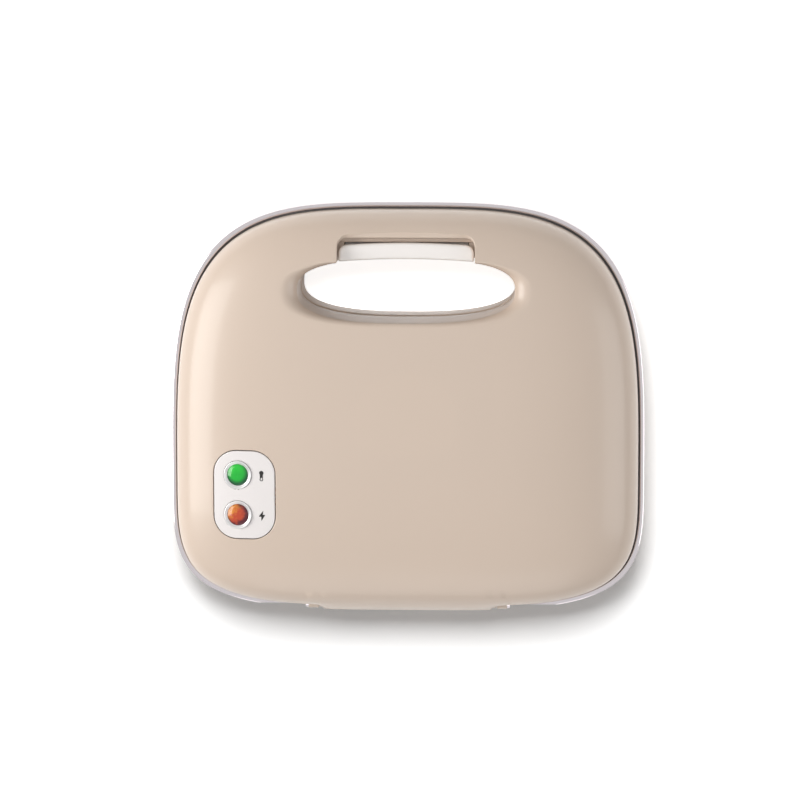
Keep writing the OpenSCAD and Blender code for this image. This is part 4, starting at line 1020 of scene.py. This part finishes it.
class TOASTER_OT_lamps(bpy.types.Operator):
    """Lamps: dished bezels and domed lenses"""

    bl_idname = "toaster.lamps"
    bl_label = "Lamps"

    def execute(self, context):
        rise = context.scene.toaster_sizes.lens_rise / MM
        store = finishes()
        for name, side in (("green", -1), ("amber", 1)):
            place = at_lamps(side * LAMP_PITCH / 2)
            bm = bmesh.new()
            bead = [(BEZEL_R - inset, z) for inset, z in ((0, LAMP_FOOT), (0, 0.3), (0.06, 0.5), (0.25, 0.66),
                                                          (0.5, 0.7), (0.75, 0.62), (0.95, 0.48))]
            dish = [(LENS_R + 0.5, 0.1), (LENS_R + 0.2, 0.0), (LENS_R + 0.06, -0.06)]
            bore = [(LENS_R + 0.06, LAMP_FOOT)]
            spun(bm, bore + bead + dish + bore, 96, place)
            piece = placed(f"bezel_{name}", bm, [store["bezel_silver"]], "lid", 40)
            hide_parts(f"{name}_bezel")
            bm = bmesh.new()
            dome = [(LENS_R * x, -0.1 + rise * y) for x, y in arc_of(1, np.linspace(0, 90, 16))]
            spun(bm, [(0, LAMP_FOOT), (LENS_R, LAMP_FOOT)] + dome, 96, place)
            piece = placed(f"lens_{name}", bm, [store[f"{name}_lens_finish"]], "lid", 40)
            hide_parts(f"{name}_lens")
        return {"FINISHED"}


# ---- plates -----------------------------------------------------------------------------------------------


def pocket_outline(inset):
    """Rounded triangle of one pocket, with its right angle at the origin, moved in by inset."""
    half_w, half_d = (PLATE_W - 3 * LAND_W) / 2, PLATE_D - 2 * LAND_W
    wide, deep = half_w - RIDGE_W * 1.5, half_d - RIDGE_W * 1.5
    centres = [(POCKET_R, POCKET_R), (wide - POCKET_R, POCKET_R), (POCKET_R, deep - POCKET_R)]
    slant = math.degrees(math.atan2(deep - 2 * POCKET_R, wide - 2 * POCKET_R))
    spans = [(180, 270), (-90, 90 - slant), (90 - slant, 180)]
    return [point for centre, (a, b) in zip(centres, spans)
            for point in arc_of(POCKET_R - inset, np.linspace(a, b, 10), centre)]


class TOASTER_OT_cooking_plates(bpy.types.Operator):
    """Cooking plates: coated castings with triangular pockets"""

    bl_idname = "toaster.cooking_plates"
    bl_label = "Cooking plates"

    def execute(self, context):
        soft = context.scene.toaster_sizes.pocket_round / MM
        for name, body, up, node_name in (("plate_below", "base", 1, "lower_plate"),
                                          ("plate_above", "lid", -1, "upper_plate")):
            bm = bmesh.new()
            edge = 0.8
            rows = [[(x, y + PLATE_Y, z) for x, y in rounded(PLATE_W - 2 * i, PLATE_D - 2 * i, 10 - i, 12)]
                    for i, z in ((0, PLATE_TOP - PLATE_T), (0, PLATE_TOP - edge), (0.1, PLATE_TOP - 0.4),
                                 (0.3, PLATE_TOP - 0.12), (0.8, PLATE_TOP))]
            flats = lofted(bm, rows, closed=True)[1]
            half_w, half_d = (PLATE_W - 3 * LAND_W) / 2, PLATE_D - 2 * LAND_W
            arc = np.radians([0, 20, 40, 60, 78])
            steps = [(-soft * 0.45 + soft * math.sin(t), -soft * (1 - math.cos(t))) for t in arc]
            steps += [(2.3, -4.5), (3.2, -7.0), (3.9, -8.1), (4.9, -8.75), (6.2, -POCKET_H), (7.5, -POCKET_H)]
            for side in (-1, 1):
                for turned in (0, 1):
                    flip = 1 if not turned else -1
                    cx = side * (half_w + LAND_W) / 2
                    rows = []
                    for inset, z in steps:
                        row = []
                        for px, py in pocket_outline(inset):
                            lx, ly = (px - half_w / 2) * side, py - half_d / 2
                            row.append((cx + flip * lx, PLATE_Y + flip * ly, PLATE_TOP + z))
                        rows.append(row)
                    first, last = lofted(bm, rows, closed=True)
                    flats = flats + first
                    bmesh.ops.edgeloop_fill(bm, edges=last)
            bmesh.ops.triangle_fill(bm, use_beauty=True, use_dissolve=False, edges=flats)
            if up < 0:
                bmesh.ops.scale(bm, vec=(1, 1, -1), verts=bm.verts)
                bmesh.ops.translate(bm, vec=(0, 0, 2 * PART_Z), verts=bm.verts)
            piece = placed(name, bm, [finishes()["plate_coating"]], body, 30)
            thickened(piece, POCKET_WALL)
            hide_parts(node_name)
        return {"FINISHED"}


# ---- small pieces -----------------------------------------------------------------------------------------


class TOASTER_OT_feet_and_fastenings(bpy.types.Operator):
    """Rubber feet, cord gland and cross-head screws"""

    bl_idname = "toaster.feet_and_fastenings"
    bl_label = "Feet and fastenings"

    def execute(self, context):
        store = finishes()
        bm = bmesh.new()
        for x, y in FEET:
            spun(bm, [(0, 0.7), (3.4, 0.7), (3.9, 0.15), (4.4, 0), (7.6, 0), (8.2, 0.25), (8.5, 0.9),
                      (8.45, 2.2), (8.2, 3.6), (8.2, 4.1), (0, 4.1)], 64, Matrix.Translation((x, y, 0)))
        piece = placed("feet_rubber", bm, [store["soft_rubber"]], "base", 50)
        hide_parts("rubber_feet")
        bm = bmesh.new()
        place = Matrix.Translation((GLAND_X, REAR_Y, GLAND_Z)) @ Matrix.Rotation(-math.pi / 2, 4, "X")
        spun(bm, [(3.6, 1.1), (4.1, 1.6), (6.0, 1.6), (6.45, 1.4), (6.6, 1.0), (6.6, 0), (5.55, 0), (5.55, -9),
                  (3.6, -9), (3.6, 1.1)], 64, place)
        piece = placed("gland_cord", bm, [store["soft_rubber"]], "base", 40)
        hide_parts("cord_gland")
        for name, body, z, node_name in (("screws_below", "base", LOW_SCREW_Z, "base_screws"),
                                         ("screws_above", "lid", HIGH_SCREW_Z, "lid_screws")):
            bm = bmesh.new()
            for x, y in SCREWS:
                place = Matrix.Translation((x, y, z)) @ Matrix.Rotation(math.radians(17 + x * 3 + y), 4, "Z")
                self.screw(bm, place)
            piece = placed(name, bm, [store["plain_steel"]], body, 35)
            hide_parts(node_name)
        return {"FINISHED"}

    def screw(self, bm, place):
        """A pan head, facing down, with a cross recess, and a plain shank."""
        before = set(bm.verts)
        arm, deep = 0.42, 1.0
        cross = []
        for quarter in range(4):
            for a, b in ((arm, 1.7), (-arm, 1.7), (-arm, arm)):
                t = quarter * math.pi / 2
                cross.append((a * math.cos(t) - b * math.sin(t), a * math.sin(t) + b * math.cos(t)))
        rim = arc_of(2.3, np.arange(32) * 11.25)
        edges = thread(bm, [(a, b, -1.8) for a, b in rim], closed=True)[1]
        slot = thread(bm, [(a, b, -1.8) for a, b in cross], closed=True)
        bmesh.ops.triangle_fill(bm, use_beauty=True, use_dissolve=False, edges=edges + slot[1])
        low = drawn_out(bm, slot[0], slot[1], [(a * 0.8, b * 0.8, -1.8 + deep) for a, b in cross])
        bmesh.ops.edgeloop_fill(bm, edges=low[1])
        ring = sorted({v for e in edges for v in e.verts}, key=lambda v: math.atan2(v.co.y, v.co.x))
        for radius, z in ((2.7, -1.6), (2.95, -1.2), (3.0, -0.7), (3.0, 0), (1.5, 0), (1.5, 11), (0.3, 12)):
            points = [(v.co.x / v.co.xy.length * radius, v.co.y / v.co.xy.length * radius, z) for v in ring]
            ring, edges = drawn_out(bm, ring, edges, points)
        bmesh.ops.edgeloop_fill(bm, edges=edges)
        bmesh.ops.transform(bm, matrix=place, verts=[v for v in bm.verts if v not in before])


class TOASTER_OT_carried_finishes(bpy.types.Operator):
    """Finishes of the pieces that are kept from the frame"""

    bl_idname = "toaster.carried_finishes"
    bl_label = "Carried finishes"

    def execute(self, context):
        store = finishes()
        chosen = {
            "satin_shell": ["lid_hinge_barrel", "base_hinge_bracket", "latch_brackets"],
            "bright_chrome": ["hinge_pins"],
            "frame_plastic": ["lower_plate_frame", "upper_plate_frame"],
            "heated_steel": ["lower_heating_element", "upper_heating_element"],
            "plain_steel": ["lower_element_clamps", "upper_element_clamps", "latch_keeper", "latch_pivot_pin",
                            "latch_spring", "thermal_fuse"],
            "bright_sheet": ["lower_reflector", "upper_reflector"],
            "brass_sheet": ["earth_tag"],
            "dark_plastic": ["thermostat", "lamp_holder"],
            "ivory_gloss": ["terminal_block"],
            "red_insulation": ["base_wiring", "lid_wiring"],
            "lamp_glass": ["neon_lamps"],
        }
        for finish, names in chosen.items():
            for name in names:
                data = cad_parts[name].data
                data.materials.clear()
                data.materials.append(store[finish])
        return {"FINISHED"}


# ---- stage ------------------------------------------------------------------------------------------------


def studio_light(name, place, size, power, aim=(0, 0, 0.05), tone=(1, 1, 1)):
    """A soft rectangular light that faces a point."""
    data = bpy.data.lights.new(name, "AREA")
    data.shape = "RECTANGLE"
    data.size, data.size_y = size
    data.energy = power
    data.color = tone
    lamp = bpy.data.objects.new(name, data)
    lamp.location = place
    lamp.rotation_euler = (Vector(aim) - Vector(place)).to_track_quat("-Z", "Y").to_euler()
    bpy.context.scene.collection.objects.link(lamp)
    return lamp


class TOASTER_OT_stage(bpy.types.Operator):
    """Stage: pale floor, soft studio lights and the camera above the lid"""

    bl_idname = "toaster.stage"
    bl_label = "Stage"

    def execute(self, context):
        scene = context.scene
        stage = scene.toaster_stage
        right = Vector(PHOTO_RIGHT).normalized()
        back = right.cross(Vector(PHOTO_UP)).normalized()
        up = back.cross(right).normalized()
        aim = Vector((0, 0, PART_Z * MM)) + (right * SHIFT_RIGHT + up * SHIFT_UP) / PHOTO_SCALE
        data = bpy.data.cameras.new("above")
        data.sensor_width = SENSOR_W
        data.lens = SENSOR_W * stage.distance / (PHOTO_W / PHOTO_SCALE)
        data.clip_end = 50
        camera = bpy.data.objects.new("above", data)
        camera.matrix_world = Matrix.Translation(aim + back * stage.distance) @ Matrix(
            (right, up, back)).transposed().to_4x4()
        scene.collection.objects.link(camera)
        scene.camera = camera
        key = studio_light("key_soft", (1.45, -0.15, 0.85), (1.1, 1.1), stage.key, tone=(1, 0.985, 0.965))
        top = studio_light("top_soft", (0.1, -0.25, 1.75), (1.2, 1.2), stage.top)
        top.visible_glossy = False
        fill = studio_light("fill_soft", (-1.5, 0.1, 0.9), (1.1, 1.1), stage.fill)
        back_soft = studio_light("back_soft", (0, 1.5, 0.8), (1.1, 1.1), stage.back)
        spread = studio_light("floor_soft", (0.05, -0.62, 1.6), (0.55, 0.55), stage.paper)
        bm = bmesh.new()
        bmesh.ops.create_grid(bm, x_segments=1, y_segments=1, size=8)
        mesh = bpy.data.meshes.new("floor")
        bm.to_mesh(mesh)
        bm.free()
        floor = bpy.data.objects.new("floor", mesh)
        scene.collection.objects.link(floor)
        mesh.materials.append(self.floor_finish())
        for lamp in (key, top, fill, back_soft):
            self.lights_only(lamp, floor, "EXCLUDE")
        self.lights_only(spread, floor, "INCLUDE")
        self.surroundings(stage.sky)
        scene.view_settings.view_transform = "Standard"
        return {"FINISHED"}

    def lights_only(self, lamp, thing, state):
        """Keeps a lamp's light off one thing, or on that thing alone."""
        linked = bpy.data.collections.new(lamp.name + "_links")
        linked.objects.link(thing)
        linked.collection_objects[0].light_linking.link_state = state
        lamp.light_linking.receiver_collection = linked

    def floor_finish(self):
        """White paper that glows for the camera just enough to read as white, and still takes a shadow; a painted
        pool of light under the hand hole whitens the shadow seen through it.
        """
        material = bpy.data.materials.new("studio_floor")
        material.use_nodes = True
        tree = material.node_tree
        shader = tree.nodes["Principled BSDF"]
        shader.inputs["Base Color"].default_value = (0.9, 0.9, 0.9, 1)
        shader.inputs["Roughness"].default_value = 0.9
        shader.inputs["Specular IOR Level"].default_value = 0.1
        rays = node(tree, "ShaderNodeLightPath")
        place = node(tree, "ShaderNodeTexCoord")
        x, y, per_x, per_y = -0.002, 0.063, 16, 36  # the brightened ellipse under the hand hole, a painted pool of light: place, and 1 / reach
        spot = node(tree, "ShaderNodeMapping", vector_type="POINT", in_1=(x * per_x, y * per_y, 0),
                    in_3=(per_x, per_y, 1))
        away = node(tree, "ShaderNodeVectorMath", operation="LENGTH")
        # Painted light: the floor glows brighter inside the ellipse than outside it.
        shown = node(tree, "ShaderNodeMapRange", interpolation_type="SMOOTHSTEP", in_1=0.9, in_2=1.4, in_3=0.8,
                     in_4=0.15)
        mirrored = node(tree, "ShaderNodeMath", operation="MULTIPLY_ADD", in_1=0.25)
        seen = node(tree, "ShaderNodeMath", operation="MULTIPLY")
        glow = node(tree, "ShaderNodeEmission")
        both = node(tree, "ShaderNodeAddShader")
        wired(tree, (place, "Object", spot, "Vector"), (spot, "Vector", away, 0), (away, "Value", shown, 0),
                    (shown, 0, seen, 0), (rays, "Is Glossy Ray", mirrored, 0),
                    (rays, "Is Camera Ray", mirrored, 2), (mirrored, 0, seen, 1), (seen, 0, glow, "Strength"),
                    (shader, 0, both, 0), (glow, 0, both, 1),
                    (both, 0, tree.nodes["Material Output"], "Surface"))
        return material

    def surroundings(self, strength):
        """An even pale world; where it is mirrored it is brighter, but for a dim band along the horizon."""
        world = bpy.data.worlds.new("studio")
        bpy.context.scene.world = world
        world.use_nodes = True
        tree = world.node_tree
        ground = tree.nodes["Background"]
        ground.inputs["Color"].default_value = (1, 1, 1, 1)
        rays = node(tree, "ShaderNodeLightPath")
        towards = node(tree, "ShaderNodeTexCoord")
        parts = node(tree, "ShaderNodeSeparateXYZ")
        horizon = node(tree, "ShaderNodeMapRange", interpolation_type="SMOOTHSTEP", in_1=0.05, in_2=0.4,
                       in_3=0.28, in_4=0.82)
        glossy = node(tree, "ShaderNodeMix", data_type="FLOAT")
        shown = node(tree, "ShaderNodeMix", data_type="FLOAT")
        glossy.inputs[2].default_value = strength
        shown.inputs[3].default_value = 0.9
        wired(tree, (towards, "Generated", parts, 0), (parts, "Z", horizon, 0),
                    (rays, "Is Glossy Ray", glossy, 0), (horizon, 0, glossy, 3),
                    (rays, "Is Camera Ray", shown, 0), (glossy, 0, shown, 2), (shown, 0, ground, "Strength"))


class TOASTER_PT_panel(bpy.types.Panel):
    bl_label = "Sandwich toaster"
    bl_idname = "TOASTER_PT_panel"
    bl_space_type = "VIEW_3D"
    bl_region_type = "UI"
    bl_category = "Toaster"

    def draw(self, context):
        scene = context.scene
        for group in (scene.toaster_sizes, scene.toaster_colours, scene.toaster_stage):
            box = self.layout.box()
            for key in group.__annotations__:
                box.prop(group, key)
        for operator in OPERATORS:
            self.layout.operator(operator.bl_idname)


OPERATORS = [TOASTER_OT_lid_shell, TOASTER_OT_base_shell, TOASTER_OT_trim_rings, TOASTER_OT_latch,
             TOASTER_OT_indicator_panel, TOASTER_OT_lamps, TOASTER_OT_cooking_plates,
             TOASTER_OT_feet_and_fastenings, TOASTER_OT_carried_finishes, TOASTER_OT_stage]
GROUPS = {"toaster_sizes": ToasterSizes, "toaster_colours": ToasterColours, "toaster_stage": ToasterStage}


def register():
    for kind in (*GROUPS.values(), *OPERATORS, TOASTER_PT_panel):
        bpy.utils.register_class(kind)
    for name, kind in GROUPS.items():
        setattr(bpy.types.Scene, name, PointerProperty(type=kind))


def unregister():
    for name in GROUPS:
        delattr(bpy.types.Scene, name)
    for kind in (TOASTER_PT_panel, *reversed(OPERATORS), *reversed(GROUPS.values())):
        bpy.utils.unregister_class(kind)


def main():
    """Builds everything in order."""
    register()
    bpy.ops.toaster.lid_shell()
    bpy.ops.toaster.base_shell()
    bpy.ops.toaster.trim_rings()
    bpy.ops.toaster.latch()
    bpy.ops.toaster.indicator_panel()
    bpy.ops.toaster.lamps()
    bpy.ops.toaster.cooking_plates()
    bpy.ops.toaster.feet_and_fastenings()
    bpy.ops.toaster.carried_finishes()
    bpy.ops.toaster.stage()
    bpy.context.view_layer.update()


if __name__ == "__main__":
    main()
